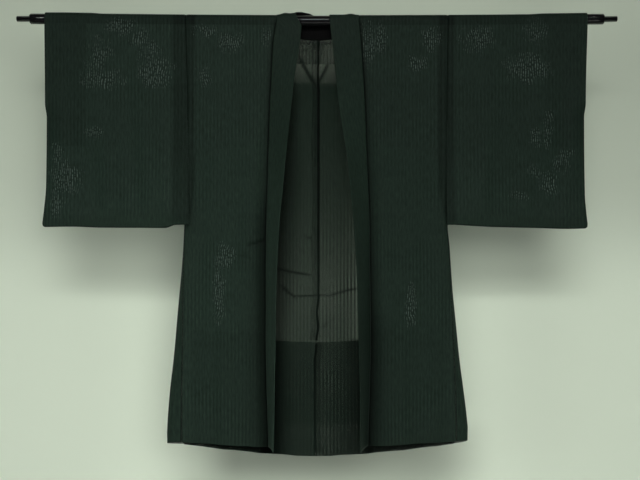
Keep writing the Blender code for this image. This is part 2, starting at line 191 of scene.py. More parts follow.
# The sleeve's outer edge by drop, and its bottom by distance from the middle line
SLEEVE_EDGE = {
    "left": {"drop": (0, 207, 380, 440, 482), "edge": (623, 621, 621, 625, 630)},
    "right": {"drop": (0, 200, 405, 440, 484), "edge": (619, 614, 614, 616, 621)},
}
SLEEVE_BOTTOM = {
    "left": {"x": (290, 320, 345, 500, 560, 630), "drop": (474, 474, 481, 480, 478, 479)},
    "right": {"x": (290, 306, 345, 409, 500, 570, 621), "drop": (474, 474, 476, 479, 481, 483, 482)},
}
FURI_AT_BOTTOM = {"left": 290.0, "right": 294.5}

SIGN = {"left": -1, "right": 1}
SIDES = ("left", "right")

# Seams: the cloth sinks a little into each, and its allowance lies flat on the inside
SEAM_DIP = 1.1
SEAM_DIP_WIDTH = 2.2
NO_SEAM = 50.0
ALLOWANCE_INSET = 0.9
BACK_ALLOWANCE = 15.0
HEM_SEAM_ALLOWANCE = 12.0
NECK_ALLOWANCE_HALF_WIDTH = 62.0
NECK_ALLOWANCE_DROP = 101.0
DARK_STRIP_HALF_LENGTH = 128.0
SLEEVE_ALLOWANCE = {"left": 30.0, "right": 14.0}
ARMHOLE_ALLOWANCE = {"left": 20.0, "right": 22.0}

# How much painted shade what lies behind puts on the outer cloth, for the light it stops, where it ends, and
# how crisp its edges are
FACING_SHOWS = {"left": 0.14, "right": 0.07}
FACING_ENDS = (284, 286)
SEAM_SHOWS = 0.34
ALLOWANCE_EDGE_SHOWS = 0.12
ALLOWANCE_ENDS = {"body": (390, 450), "sleeve": (455, 465)}
ROD_SHOWS = {"left": 0.23, "right": 0.18}
HEM_SHOWS = {"left": 0.13, "right": 0.05}
HEM_FADES = (20, 10)
CRISP = 0.7

# How much lighter it is with painted light: before the lit part of the wall between two drops, low down, and
# low on the sleeve
LIT_WALL_SHOWS = 0.05
LIT_WALL_DROP = 146.0
LOWER_PAINTED_LIGHT = {"left": 0.06, "right": 0.02}
LOWER_DROPS = (300, 700)
SLEEVE_LOW_PAINTED_LIGHT = 0.06
SLEEVE_LOW_DROPS = (230, 380)

# How much light passes, against the weave's own share: through the front none, since what shows through it is
# painted into its tone; through the back by drop, and between two drops it becomes another share for each
# side. The back's changes by drop and by side are painted light and shade, in how much light passes
FRONT_SHEER = 0.0
HIGH_SHEER = {"drop": (0, 143, 148, 215, 330), "sheer": (0.85, 0.90, 0.60, 0.72, 0.84)}
LOW_SHEER = {"left": 1.08, "right": 1.52}
LOW_SHEER_DROPS = (250, 650)

# How strongly the stripes show: on the front high up and low down, inside the back high up, and what is
# added there low down, then further from the middle, and then on the turned-up hem
FRONT_STRIPES = (1.2, 1.6)
FRONT_STRIPES_DROPS = (380, 600)
BACK_STRIPES = 0.15
BACK_STRIPES_DROPS = (300, 640)
STRIPES_ASIDE = (20, 90)
MORE_STRIPES = {
    "left": {"low": 0.6, "aside": 0.0, "hem": 0.6},
    "right": {"low": 1.2, "aside": 0.9, "hem": 0.0},
}

# A cloth's weave and light, point by point: how much of a patch of painted gleams it lies in, how much
# lighter or darker than plain it is, which is painted light and shade and the dark core of a seam, how much
# light passes through against its weave's own share, how gathered it is, and how strongly its stripes show
PLAIN_WEAVE_AND_LIGHT = {"gleam": 0.0, "shade": 1.0, "sheer": 1.0, "gather": 0.0, "stripes": 1.0}

# Where the inner cloths and the collar lie on the flat, across it: far from the body, so that each has a
# piece of weave of its own
LIES_AT = {
    "back strip": 700,
    "gusset": 900,
    "collar": 1100,
    "dark neck strip": 1300,
    "facing": 1400,
    "armhole strip": 1700,
    "neck allowance": 2000,
}
GUSSET_HALF_WIDTH = 30.0

# Spacing of the mesh along each cloth, on the body's seams, and across it
ROW_STEP = 5.0
DENSER_INSIDE = 1.35
RIDGE_STEP = 2.2
NEAR_SEAM = (0, 0.7, 1.5, 2.6, 4.2, 6.8)
BODY_COLUMNS = 46
SLEEVE_ROWS = 97
COLLAR_COLUMNS = 17
DARK_STRIP_COLUMN_STEP = 4.0
BACK_ROWS = (
    (NECK_DROP + 1.5, 170, 3.0),
    (170, 560, ROW_STEP),
    (560, 720, 2.6),
    (720, BODY_DROP, ROW_STEP),
)
OVER_ROD = np.radians(np.arange(-84, 85, 7.0))[:, None]
FACING_COLUMNS = 22
STRIP_COLUMNS = (0, 0.1, 0.3, 0.5, 0.7, 0.85, 1.0)
CORE_COLUMNS = (-1, -0.6, 0, 0.6, 1, 0, 0, 0, 0)
FLAP_COLUMNS = (0, 0, 0, 0, 0, 0.4, 0.55, 0.8, 1.0)

# A crease's dark line: how wide it is, as a share of the crease's width, how deep the crease with the darkest
# one is, and how much of the light it stops and of the tone it takes away, the tone as painted shade in the
# crease and for the doubled cloth
CREASE_LINE = 0.8
DEEPEST_CREASE = 2.6
CREASE_CLOSES = 0.95
CREASE_DARKENS = 0.6

# How far a crease bows and where it starts and ends, as shares of its length, and how high its lip is
CREASE_BOW = 0.02
CREASE_STARTS = (-0.12, 0.2)
CREASE_ENDS = (0.8, 1.1)
CREASE_LIP = 0.45

# Creases pressed into the cloth by folding and by hanging, each as (face, one end, other end, depth,
# width). The face is -1 on the front and 1 on the back, and an end is (x, drop). A crease doubles the
# cloth, so it also lets less light through
CREASES = {
    "left": (
        (1, (118, 566), (11, 585), 2.4, 3.2), (1, (84, 610), (48, 638), 2.8, 3.2),
        (1, (50, 633), (-6, 630), 2.4, 2.6), (1, (34, 495), (8, 502), 1.1, 2.6),
        (1, (42, 82), (4, 150), 3.2, 4.2), (1, (30, 98), (12, 146), 1.8, 3.2),
        (1, (8, 49), (5, 68), 2.8, 2.6), (1, (17, 66), (38, 72), 1.2, 3.0),
        (-1, (160, 530), (116, 515), 2.6, 3.6), (-1, (183, 553), (150, 560), 1.0, 4.0),
        (-1, (214, 686), (190, 690), 0.8, 4.0), (1, (286, 598), (120, 604), 1.3, 3.4),
        (1, (262, 330), (150, 321), 1.0, 4.0),
    ),
    "right": (
        (1, (-6, 631), (34, 633), 1.8, 2.6), (1, (26, 633), (98, 617), 2.2, 3.0),
        (1, (25, 690), (14, 706), 1.3, 2.8), (1, (26, 100), (2, 146), 2.6, 4.0),
        (1, (14, 58), (2, 104), 1.6, 3.0), (1, (13, 50), (3, 72), 2.6, 2.6),
        (1, (22, 49), (13, 60), 2.4, 2.4), (-1, (150, 556), (210, 563), 0.6, 5.0),
        (1, (112, 611), (288, 597), 1.4, 3.4), (1, (130, 318), (270, 326), 0.9, 4.4),
    ),
}

# Where two layers hang so close that light through their lined-up gaps shows in wandering bright lines,
# painted into the colour: each patch as (middle, half size, brightness), its middle as (x, drop). It reaches
# a little beyond its size
GLEAM_SPREAD = 1.3
GLEAMS = {
    "left": (
        ((449, 18), (35, 17), 1.0), ((407, 43), (18, 20), 1.0), ((382, 76), (24, 24), 0.6),
        ((368, 120), (36, 30), 1.0), ((490, 136), (42, 20), 0.9), ((500, 90), (28, 40), 0.4),
        ((510, 253), (20, 12), 0.8), ((593, 306), (12, 26), 0.8), ((577, 357), (32, 36), 1.0),
        ((596, 414), (14, 28), 0.9), ((253, 28), (26, 14), 0.6), ((200, 55), (28, 22), 0.8),
        ((113, 42), (12, 20), 0.5), ((258, 131), (14, 20), 0.5), ((209, 561), (20, 30), 0.9),
        ((223, 646), (12, 64), 1.0),
    ),
    "right": (
        ((115, 62), (20, 46), 0.5), ((145, 48), (13, 34), 1.0), ((262, 46), (20, 24), 0.9),
        ((228, 106), (20, 17), 1.0), ((214, 679), (12, 46), 1.0), ((370, 46), (38, 28), 0.6),
        ((499, 28), (22, 26), 0.5), ((481, 113), (46, 26), 0.9), ((527, 242), (10, 38), 0.6),
        ((499, 262), (14, 18), 0.5), ((531, 368), (18, 22), 1.0), ((495, 338), (16, 12), 0.5),
        ((566, 311), (10, 24), 0.4), ((467, 395), (24, 8), 0.6), ((550, 322), (15, 12), 0.8),
        ((577, 299), (15, 8), 0.7),
    ),
}

# Waves of the hanging cloth: how high, over which drops they grow, how long the slow and the quick ones
# are, over what drop they lean by one radian, and how often the quick ones take up the phase
QUICK_WAVES = 0.35
WAVES = {
    "body": {
        "height": 2.6, "drops": (80, 800), "slow": 93, "slow_lean": 330,
        "quick": 41, "quick_lean": -210, "quick_phase": 2,
    },
    "sleeve": {
        "height": 1.9, "drops": (40, 330), "slow": 112, "slow_lean": 160,
        "quick": 47, "quick_lean": 95, "quick_phase": -1,
    },
}

# How high the waves of the collar and the gussets are, and the gathers under the back neck and beside the
# centre-back seam
COLLAR_WAVE = 1.4
GUSSET_WAVE = 1.2
NECK_PUCKER = 1.3
BACK_PUCKER = 0.9

# The centre-back seam wanders a little as it hangs: x by drop
CENTRE_BACK = {
    "drop": (0, 94, 117, 165, 640, 669, 704, 727, 757, 780, 865, 1008),
    "x": (3.4, 3.2, 2.4, 3.4, 3.4, 0.2, 2.8, -0.5, -2.2, -5.2, -5.2, -3.2),
}

# Half the width of that seam's close-stitched core, and how dark the core is, by drop
BACK_CORE = {
    "drop": (0, 66, 80, 125, 142, 480, 640, 760, 860, 1008),
    "half": (2.4, 1.9, 0.8, 0.9, 2.2, 1.9, 1.6, 1.4, 1.2, 0.8),
    "tone": (0.25, 0.25, 0.25, 0.25, 0.3, 0.45, 0.8, 0.4, 0.7, 1.0),
}

# The rod sags under the jacket: how far, about which x, and how far from there it is straight again. The
# jacket sags with it down to the first of two drops, and not at all from the second on
ROD_SAG = 4.9
SAG_MIDDLE = 60.0
SAG_HALF_LENGTH = 640.0
SAG_DROPS = (12.0, 60.0)
ROD_BEND_STEP = 40.0

# The collar casts a painted shadow on the front panel beside its seam: how much light it takes at most, how
# far out by drop, and between which drops this comes in
PANEL_SHADOW_DEPTH = 0.9
PANEL_SHADOW = {
    "left": {"drop": (0, 380, 530, 1000), "reach": (4.0, 5.0, 20.0, 21.0)},
    "right": {"drop": (0, 480, 650, 760, 1000), "reach": (4.0, 6.0, 8.0, 19.0, 20.0)},
}
PANEL_SHADOW_DROPS = (0, 10)

# It also casts a painted shadow inside the back: how much, or how much less than none, which is painted
# light, and how far in from its free edge, by drop. Behind the collar this comes in from a distance behind
# the edge. Below the front hem, the back has painted shade from a distance inwards of the collar's seam on
HEM_DARKENS = 0.8
HEM_DARKENS_FROM = (-14, 0)
BACK_SHADOW_STARTS = (-44, -22)
BACK_SHADOW = {
    "left": {
        "drop": (0, 130, 187, 280, 370, 560, 730, 742, 1008),
        "depth": (0, 0.2, 0.6, 0.72, 0.80, 0.80, 0.70, 0.88, 0.85),
        "reach": (10, 15, 26, 42, 60, 64, 44, 50, 52),
    },
    "right": {
        "drop": (0, 130, 190, 280, 500, 730, 742, 1008),
        "depth": (0, 0, -0.3, -0.3, -0.5, -0.6, 0.55, 0.45),
        "reach": (10, 15, 24, 24, 30, 36, 78, 80),
    },
}

# How light each half's cloth is, and its side of the collar by drop: painted light and shade, the left half
# lit more than the right
SIDE_PAINTED_LIGHT = {"left": 1.02, "right": 0.86}
COLLAR_PAINTED_LIGHT = {
    "left": {"drop": (0, 300, 450, 760, 1000), "tone": (0.86, 0.95, 1.17, 1.44, 1.5)},
    "right": {"drop": (0, 300, 600, 760, 1000), "tone": (0.80, 1.0, 1.0, 0.80, 0.80)},
}
COLLAR_SEAM_SHADOW = {"left": 0.3, "right": 0.75}
COLLAR_SHADOW_REACH = 13.0
SHOULDER_LENGTH = 118.0
COLLAR_STRIPES = 0.35

# Camera and room
CAMERA_DISTANCE = 2.2
CAMERA_X = 0.007
CAMERA_Z = -0.5085
VIEW_WIDTH = 1.472
SENSOR_WIDTH = 36.0
WALL_Y = 0.25
FLOOR_Z = -1.50
ROOM_HALF = 5.0
WALL_COLOUR = (0.67, 0.76, 0.61)
FLOOR_COLOUR = (0.06, 0.06, 0.06, 1)
WORLD_COLOUR = (0.93, 0.96, 0.92, 1)
WORLD_STRENGTH = 0.02

# The wall's tone, against its plain colour, each step as (from, to, tone before, tone after): down the wall
# it is darker high up and lighter low down, and away from its middle it is darker, a painted shade at the
# sides. Under the jacket's hem lies a painted shadow, full where all its steps are 1
WALL_DOWN = (-0.33, -0.68, 0.93, 1.11)
WALL_ASIDE = (0.35, 0.62, 1.03, 0.96)
HEM_SHADOW_DEPTH = 0.46
HEM_SHADOW = (
    ("X", (-0.313, -0.198, 0.0, 1.0)),
    ("X", (0.03, 0.21, 1.0, 0.6)),
    ("X", (0.31, 0.47, 1.0, 0.0)),
    ("Z", (-0.95, -1.02, 0.0, 1.0)),
    ("Z", (-1.07, -1.17, 1.0, 0.0)),
)

# Lamps as (name, place, target, size, spread, watts): those that light the jacket and the room, and those
# whose gleam in glossy things is all that is seen of them
LAMPS = (
    ("tube", (0, -3.0, 1.42), (0, -3.0, 0), (1.2, 0.07), 180, 18),
    ("window", (-2.6, -2.2, -0.1), (0, 0, -0.6), (1.4, 1.4), 180, 23.5),
    ("door", (2.6, -2.2, -0.1), (0, 0, -0.6), (1.4, 1.4), 180, 8),
    ("front", (1.4, -4.2, 0.3), (0.6, 0, -0.6), (1.6, 1.2), 180, 32),
    ("soft_high", (0, -3.0, 1.2), (0, 0, -1.3), (2.4, 0.8), 70, 9.6),
    ("low", (0, -2.6, -1.3), (0, 0.25, -1.1), (2.4, 0.3), 60, 2.9),
    ("behind", (1.2, 2.6, 0.6), (0, 0, -0.5), (1.6, 1.2), 180, 90),
)
GLEAM_LAMPS = (
    ("tube_gleam", (0, -3.0, 1.40), (0, -3.0, 0), (3.4, 0.07), 180, 98),
    ("floor_gleam", (0, -1.35, -1.48), (0, -1.35, 1), (3.4, 0.05), 180, 6.5),
)


def eased(value, start, end):
    """0 before start and 1 after end, with a smooth step between them."""
    t = np.clip((np.asarray(value, float) - start) / (end - start), 0.0, 1.0)
    return t * t * (3 - 2 * t)


def mixed(a, b, t):
    return a + (b - a) * t


def hump(distance, width):
    return np.exp(-((distance / width) ** 2))


def stacked(*parts):
    """Arrays spread to one shape and put together as the coordinates of points."""
    return np.stack(np.broadcast_arrays(*parts), axis=-1)


def band(value, start, end, soft):
    """1 from start to end and 0 outside, with a smooth step at each, twice soft wide."""
    return eased(value, start - soft, start + soft) * (1 - eased(value, end - soft, end + soft))


def gleam(side, flat):
    """How near the middle of a patch of painted gleams each place lies: 1 at its middle, and 0 outside it."""
    found = np.zeros(flat.shape[:2])
    for (x, drop), (half_width, half_height), bright in GLEAMS[side]:
        off_x = (flat[..., 0] - x) / half_width
        off_y = (np.abs(flat[..., 1]) - QUARTER - drop) / half_height
        found = np.maximum(found, bright * (GLEAM_SPREAD - np.hypot(off_x, off_y)))
    return np.clip(found, 0, 1)


def painted_light_and_shade(side, flat):
    """How light an outer cloth looks at each place, in painted light and shade: darker where facing,
    allowances, hem and rod lie behind it, and lighter before the lit wall and low down.
    """
    x, run = np.abs(flat[..., 0]), flat[..., 1]
    drop = np.abs(run) - QUARTER
    seam = SIDE[side]["panel"][0]
    edge = SLEEVE_EDGE[side]["edge"][0]
    facing = band(x, edge - FACING_WIDTH, edge + 20, CRISP) * (1 - eased(drop, *FACING_ENDS))
    rod = ROD_SHOWS[side] * band(drop, -2 * WRAP, ROD_RADIUS, CRISP)
    in_body = seam - ARMHOLE_ALLOWANCE[side]
    allowance = SEAM_SHOWS * band(x, in_body, seam + SLEEVE_ALLOWANCE[side], 2.0)
    allowance = allowance + ALLOWANCE_EDGE_SHOWS * hump(x - in_body - 2, 2.0)
    body_end, sleeve_end = (1 - eased(drop, *ALLOWANCE_ENDS[part]) for part in ("body", "sleeve"))
    allowance = allowance * np.where(x < seam - 12, body_end, sleeve_end)
    hem = 1 - eased(x, seam - HEM_FADES[0], seam - HEM_FADES[1])
    hem = HEM_SHOWS[side] * hem * eased(drop, HEM_FOLD_TOP - 3, HEM_FOLD_TOP + 3) * (x < seam)
    # Painted shade for the light that the layers and the rod behind stop
    dark = np.maximum(FACING_SHOWS[side] * facing, rod) + allowance + hem
    # Painted light from the lit wall behind, and more of it low down
    bright = (1 - facing) * LIT_WALL_SHOWS * band(drop, ROD_RADIUS, LIT_WALL_DROP, CRISP)
    bright = bright + LOWER_PAINTED_LIGHT[side] * eased(drop, *LOWER_DROPS)
    bright = bright + SLEEVE_LOW_PAINTED_LIGHT * (x > seam) * eased(drop, *SLEEVE_LOW_DROPS)
    # Each half's painted light and shade, and the collar's painted shadow
    return SIDE_PAINTED_LIGHT[side] * (1 - dark + bright) * under_collar(side, x, run)


def under_collar(side, x, run):
    """How much light the collar leaves on each place, as a painted shadow: on the front panel next to it, and
    inside the back in its tone and in how much light passes, with painted light beside the right collar and
    painted shade below the front hem.
    """
    drop = np.abs(run) - QUARTER
    from_seam = x - curve(COLLAR[side], "seam", drop)
    front_reach = curve(PANEL_SHADOW[side], "reach", drop)
    front = PANEL_SHADOW_DEPTH * np.exp(-np.maximum(from_seam, 0) / front_reach)
    front = 1 - front * eased(drop, *PANEL_SHADOW_DROPS)
    from_edge = curve(COLLAR[side], "edge", drop) - x
    depth = curve(BACK_SHADOW[side], "depth", drop)
    reach = curve(BACK_SHADOW[side], "reach", drop)
    inside = (1 - eased(from_edge, -0.2 * reach, reach)) * eased(from_edge, *BACK_SHADOW_STARTS)
    # Painted shade on the back's turned-up hem, below the front hem
    behind_front = HEM_DARKENS * eased(drop, BODY_DROP, BODY_DROP + 2) * eased(from_seam, *HEM_DARKENS_FROM)
    return np.where(run < 0, front, (1 - depth * inside) * (1 - behind_front))


def stripes_show(side, x, run):
    """How strongly the stripes show: hardly high inside the back, and most low down on its right."""
    drop = np.abs(run) - QUARTER
    more = MORE_STRIPES[side]
    low = more["low"] + more["aside"] * eased(x, *STRIPES_ASIDE)
    low = low + more["hem"] * eased(drop, HEM_FOLD_TOP - 3, HEM_FOLD_TOP)
    front = mixed(*FRONT_STRIPES, eased(drop, *FRONT_STRIPES_DROPS))
    return np.where(run < 0, front, BACK_STRIPES + eased(drop, *BACK_STRIPES_DROPS) * low)


def curve(table, name, at, key="drop"):
    """A table's column read at places along its key, on a smooth curve that never overshoots its rows."""
    keys, values = np.asarray(table[key], float), np.asarray(table[name], float)
    steps = np.diff(keys)
    slopes = np.diff(values) / steps
    tangents = np.zeros_like(values)
    before, after = slopes[:-1], slopes[1:]
    same_way = before * after > 0
    tangents[1:-1][same_way] = (2 * before * after)[same_way] / (before + after)[same_way]
    tangents[0], tangents[-1] = slopes[0], slopes[-1]
    at = np.asarray(at, float)
    i = np.clip(np.searchsorted(keys, at, side="right") - 1, 0, len(steps) - 1)
    t = np.clip((at - keys[i]) / steps[i], 0, 1)
    start = (1 + 2 * t) * (1 - t) ** 2 * values[i] + t * (1 - t) ** 2 * steps[i] * tangents[i]
    end = t * t * (3 - 2 * t) * values[i + 1] + t * t * (t - 1) * steps[i] * tangents[i + 1]
    return start + end


def stepped(start, end, step):
    """Even places from start to end, about a step apart."""
    return np.linspace(start, end, max(int(round(abs(end - start) / step)), 1) + 1)


def rod_sag(x):
    """How far the rod hangs down at x."""
    return ROD_SAG * np.maximum(1 - ((x - SAG_MIDDLE) / SAG_HALF_LENGTH) ** 2, 0)


def sagged(points):
    """Points of the jacket, let down with the rod where they lie near it."""
    x, z = points[..., 0], points[..., 2]
    down = rod_sag(x) * (1 - eased(-z, *SAG_DROPS))
    return stacked(x, points[..., 1], z - down)


# Body


def spread(drop):
    """How much further than the rod the hanging cloth stands from the rod's axis."""
    return HEM_SPREAD * (np.maximum(drop, 0.0) / BODY_DROP) ** 1.2


def front_hem(side, x):
    collar_x = COLLAR[side]["seam"][-1]
    side_x = SIDE[side]["panel"][-1]
    return mixed(FRONT_HEM_AT_COLLAR[side], FRONT_HEM_AT_SIDE[side], (x - collar_x) / (side_x - collar_x))


def back_hem(x):
    return BACK_HEM_AT_CENTRE - BACK_HEM_RISE * (np.maximum(x, 0) / BACK_HEM_REACH) ** 1.5


def body_drop(side, x, run):
    """The drop of a point of the body: the rows bend to follow the hem as they near it."""
    drop = np.abs(run) - QUARTER
    hem = np.where(run < 0, front_hem(side, x), back_hem(x))
    return drop + (hem - BODY_DROP) * eased(drop, HEM_STARTS, BODY_DROP)


def valley(side, x, drop):
    """How far the front panel sinks towards the collar seam."""
    seam = curve(COLLAR[side], "seam", drop)
    near = 1 - eased((x - seam) / VALLEY_WIDTH, 0, 1)
    return VALLEY_DEPTH * near * eased(drop, 0, VALLEY_FADE)


def creases(side, face, x, drop):
    """(how far the creases push the cloth inwards, how strongly each place is creased, from 0 to 1)."""
    pushed = np.zeros(np.broadcast(x, drop).shape)
    pressed = np.zeros_like(pushed)
    for its_face, (start_x, start_drop), (end_x, end_drop), depth, width in CREASES[side]:
        way_x, way_drop = end_x - start_x, end_drop - start_drop
        length = math.hypot(way_x, way_drop)
        along = ((x - start_x) * way_x + (drop - start_drop) * way_drop) / length
        off = ((x - start_x) * way_drop - (drop - start_drop) * way_x) / length
        off = off - CREASE_BOW * length * np.sin(math.pi * np.clip(along / length, 0, 1))
        ends = eased(along / length, *CREASE_STARTS) * (1 - eased(along / length, *CREASE_ENDS))
        ends = np.where(face == its_face, ends, 0)
        trough = hump(off, width) - CREASE_LIP * hump(off + 2.2 * width, 1.6 * width)
        pushed += depth * ends * trough
        line = ends * hump(off, CREASE_LINE * width) * depth / DEEPEST_CREASE
        pressed = np.maximum(pressed, line)
    return pushed, pressed


def waves(kind, phase, x, drop):
    """Slow upright waves of the hanging cloth, with quicker ones over them, that grow downwards."""
    size = WAVES[kind]
    slow = np.sin(2 * math.pi * x / size["slow"] + phase + drop / size["slow_lean"])
    quick = np.sin(2 * math.pi * x / size["quick"] + size["quick_phase"] * phase + drop / size["quick_lean"])
    return size["height"] * eased(drop, *size["drops"]) * (slow + QUICK_WAVES * quick)


def body_waves(side, face, x, drop):
    """The body's waves, which fade out at its seams."""
    phase = {"left": 0.6, "right": 2.1}[side] + np.where(face < 0, 0.0, 1.7)
    inner = np.where(face < 0, 118.0, 0.0)
    window = eased(x, inner + 6, inner + 46) * (1 - eased(x, 270, 300))
    return window * waves("body", phase, x, drop)


def neck_pucker(face, x, drop):
    """Small gathers under the back neck's seam and beside the centre-back seam."""
    under_neck = eased(drop, 20, 48) * (1 - eased(drop, 48, 74)) * (1 - eased(x, 60, 100))
    beside = hump(x, 9.0) * eased(drop, 60, 110)
    neck = NECK_PUCKER * under_neck * np.sin(x / 1.9)
    middle = BACK_PUCKER * beside * np.sin(drop / 9 + np.sin(drop / 31))
    return np.where(face > 0, neck + middle, 0)


def neck_gather(face, x, drop):
    """How strongly the cloth is gathered under the back neck's seam, from 0 to 1."""
    below = eased(drop, 44, 50) * (1 - eased(drop, 52, 64))
    return np.where(face > 0, below, 0) * (1 - eased(x, 30, 60))


def drape(side, x, run, inset):
    """Flat points of the body hung on the rod. inset moves them towards the inside of the jacket."""
    x, run = np.broadcast_arrays(np.asarray(x, float), np.asarray(run, float))
    face = np.where(run < 0, -1, 1)
    on_rod = np.abs(run) <= QUARTER
    drop = body_drop(side, x, run)
    angle = np.abs(run) / WRAP
    depth = WRAP + spread(drop) - inset - np.where(run < 0, valley(side, x, drop), 0)
    y = np.where(on_rod, (WRAP - inset) * np.sin(angle), depth)
    z = np.where(on_rod, (WRAP - inset) * np.cos(angle), -drop)
    return stacked(SIGN[side] * x, face * y, z)


def neck_curve(side, angle, inset):
    """Points of the back neck on the flat: angle 0 is at the shoulder, and a quarter turn at the centre."""
    power = 2 / NECK_SQUARENESS
    width = COLLAR[side]["seam"][0] - inset
    depth = QUARTER + NECK_DROP - inset - NECK_START
    x = width * np.maximum(np.cos(angle), 0.0) ** power
    return x, NECK_START + depth * np.sin(angle) ** power


def centre_back(side, drop):
    """The centre-back seam's distance from the middle line on this side."""
    return SIGN[side] * curve(CENTRE_BACK, "x", drop)


def hem_turn():
    """Rows round the fold at a hem: (inset, how far below the hem)."""
    angles = np.radians(np.arange(0, 181, 22.5))
    return HEM_FOLD_RADIUS * (1 - np.cos(angles)), HEM_FOLD_RADIUS * np.sin(angles)


def with_rod_edge(drops):
    """Rising drops, with two more where the rod's lower edge shows through the cloth."""
    return np.union1d(drops, (ROD_RADIUS - CRISP, ROD_RADIUS + CRISP))


def body_rows(side):
    """(run, inner edge, inset, dip) of each row, from the top of the front's turned-up hem to the back's."""
    rows = []

    def add(runs, inners, insets=0.0, dips=0.0):
        rows.append(stacked(runs, inners, insets, dips))

    def seam(drops):
        return curve(COLLAR[side], "seam", drops) - UNDER_COLLAR

    def middle(drops):
        return centre_back(side, drops) + GAP / 2

    down = stepped(HEM_FOLD_TOP, BODY_DROP, ROW_STEP)
    insets, dips = hem_turn()
    add(-QUARTER - down, seam(down) + 2, LAYER_INSET)
    add(-QUARTER - BODY_DROP, seam(BODY_DROP), insets[::-1], dips[::-1])
    up = with_rod_edge(stepped(0, BODY_DROP, ROW_STEP))[::-1]
    add(-QUARTER - up[1:], seam(up[1:]))
    add(stepped(-QUARTER, NECK_START, RIDGE_STEP)[1:], COLLAR[side]["seam"][0] - UNDER_COLLAR)
    angles = np.radians(np.concatenate([np.arange(2, 60, 4), np.arange(60, 88, 6), [88.5, 90]]))
    neck_x, neck_run = neck_curve(side, angles, UNDER_COLLAR)
    add(neck_run, np.maximum(neck_x, middle(NECK_DROP)))
    back = np.unique(np.concatenate([stepped(*rows) for rows in BACK_ROWS]))
    add(QUARTER + back, middle(back))
    add(QUARTER + BODY_DROP, middle(BODY_DROP), insets[1:], dips[1:])
    add(QUARTER + down[::-1][1:], middle(down[::-1][1:]), LAYER_INSET)
    return np.concatenate(rows)


def body_columns(inner, outer):
    """Places across the body, close together at both seams: one row of places for each row's two edges."""
    near = np.array(NEAR_SEAM)
    t = np.linspace(0, 1, BODY_COLUMNS)[1:-1] ** DENSER_INSIDE
    plain = mixed(inner + near[-1], outer - near[-1], t)
    return np.concatenate([inner + near, plain, outer - near[::-1]], axis=1)


def seam_dip(x, inner, outer):
    return SEAM_DIP * (hump(x - inner, SEAM_DIP_WIDTH) + hump(outer - x, SEAM_DIP_WIDTH))


def body_cloth(side):
    """One half of the body, from hem to hem, with its hems turned up inside.

    Each cloth is (points, flat places, distance from a seam, weave and light).
    """
    rows = body_rows(side)
    run, inner, inset, dip = (rows[:, i, None] for i in range(4))
    face = np.where(run < 0, -1, 1)
    drop = np.abs(run) - QUARTER
    outer = curve(SIDE[side], "panel", drop)
    x = body_columns(inner, outer)
    hanging = eased(drop, -4, 24)
    pushed, pressed = creases(side, face, x, drop)
    form = pushed + body_waves(side, face, x, drop) + neck_pucker(face, x, drop)
    total = inset + hanging * form + seam_dip(x, inner, outer)
    points = drape(side, x, run, total)
    points[..., 2] -= dip
    turned_up = (inset[:, 0] > HEM_FOLD_RADIUS)[:, None] & (drop < BODY_DROP)
    length = np.where(turned_up, 2 * (QUARTER + BODY_DROP) - np.abs(run), np.abs(run))
    flat = stacked(x, face * length)
    weave_and_light = outer_weave_and_light(side, flat)
    # A crease lets less light through, and its tone is darker as painted shade in the crease and for the
    # doubled cloth
    weave_and_light["sheer"] = weave_and_light["sheer"] * (1 - CREASE_CLOSES * pressed)
    weave_and_light["shade"] = weave_and_light["shade"] * (1 - CREASE_DARKENS * pressed)
    weave_and_light["gather"] = neck_gather(face, x, drop)
    return points, flat, np.minimum(x - inner, outer - x), weave_and_light


def back_strip(side, start, end, width, depth):
    """The centre-back seam's close-stitched core, with its allowance folded flat to one side of it."""
    drops = stepped(start, end, ROW_STEP)[:, None]
    core = curve(BACK_CORE, "half", drops)
    across = (core + 1) * np.array(CORE_COLUMNS) + width * np.array(FLAP_COLUMNS)
    x = centre_back(side, drops) + across
    wander = 1.2 * np.sin(drops / 37) * np.maximum(across, 0) / width
    run = QUARTER + drops + 0 * x
    face = np.ones_like(x)
    inset = depth + 0.9 * hump(across, 2.0) + neck_pucker(face, x, drops)
    inset = inset + creases(side, face, x, drops)[0] + body_waves(side, face, x, drops)
    points = drape(side, x + wander, run, inset)
    weave_and_light = {"sheer": 1.25, "shade": curve(BACK_CORE, "tone", drops)}
    return points, stacked(LIES_AT["back strip"] + x, run), np.maximum(np.abs(across) - core, 0), weave_and_light


def neck_allowance():
    """The back neck's allowance, folded down inside the back below its seam."""
    across = stepped(NECK_ALLOWANCE_HALF_WIDTH, GAP / 2, 3.0)[:, None]
    part = np.linspace(0, 1, 13)[None, :]

    def half(side):
        power = NECK_SQUARENESS
        start = NECK_START + (QUARTER + NECK_DROP - NECK_START) * (
            1 - (across / COLLAR[side]["seam"][0]) ** power
        ) ** (1 / power)
        run = mixed(start + 1, QUARTER + NECK_ALLOWANCE_DROP + 1.2 * np.sin(across / 17), part)
        x = across + 0 * run
        pushed = creases(side, np.ones_like(x), x, run - QUARTER)[0]
        form = pushed + neck_pucker(1 + 0 * x, x, run - QUARTER)
        return drape(side, x, run, ALLOWANCE_INSET + form), run

    left, left_run = half("left")
    right, right_run = half("right")
    run = np.concatenate([left_run, right_run[::-1]])
    across = np.concatenate([-across, across[::-1]])
    flat = stacked(LIES_AT["neck allowance"] + across, run)
    return np.concatenate([left, right[::-1]]), flat, run - run[:, :1] + 1.0, {}


# Gussets


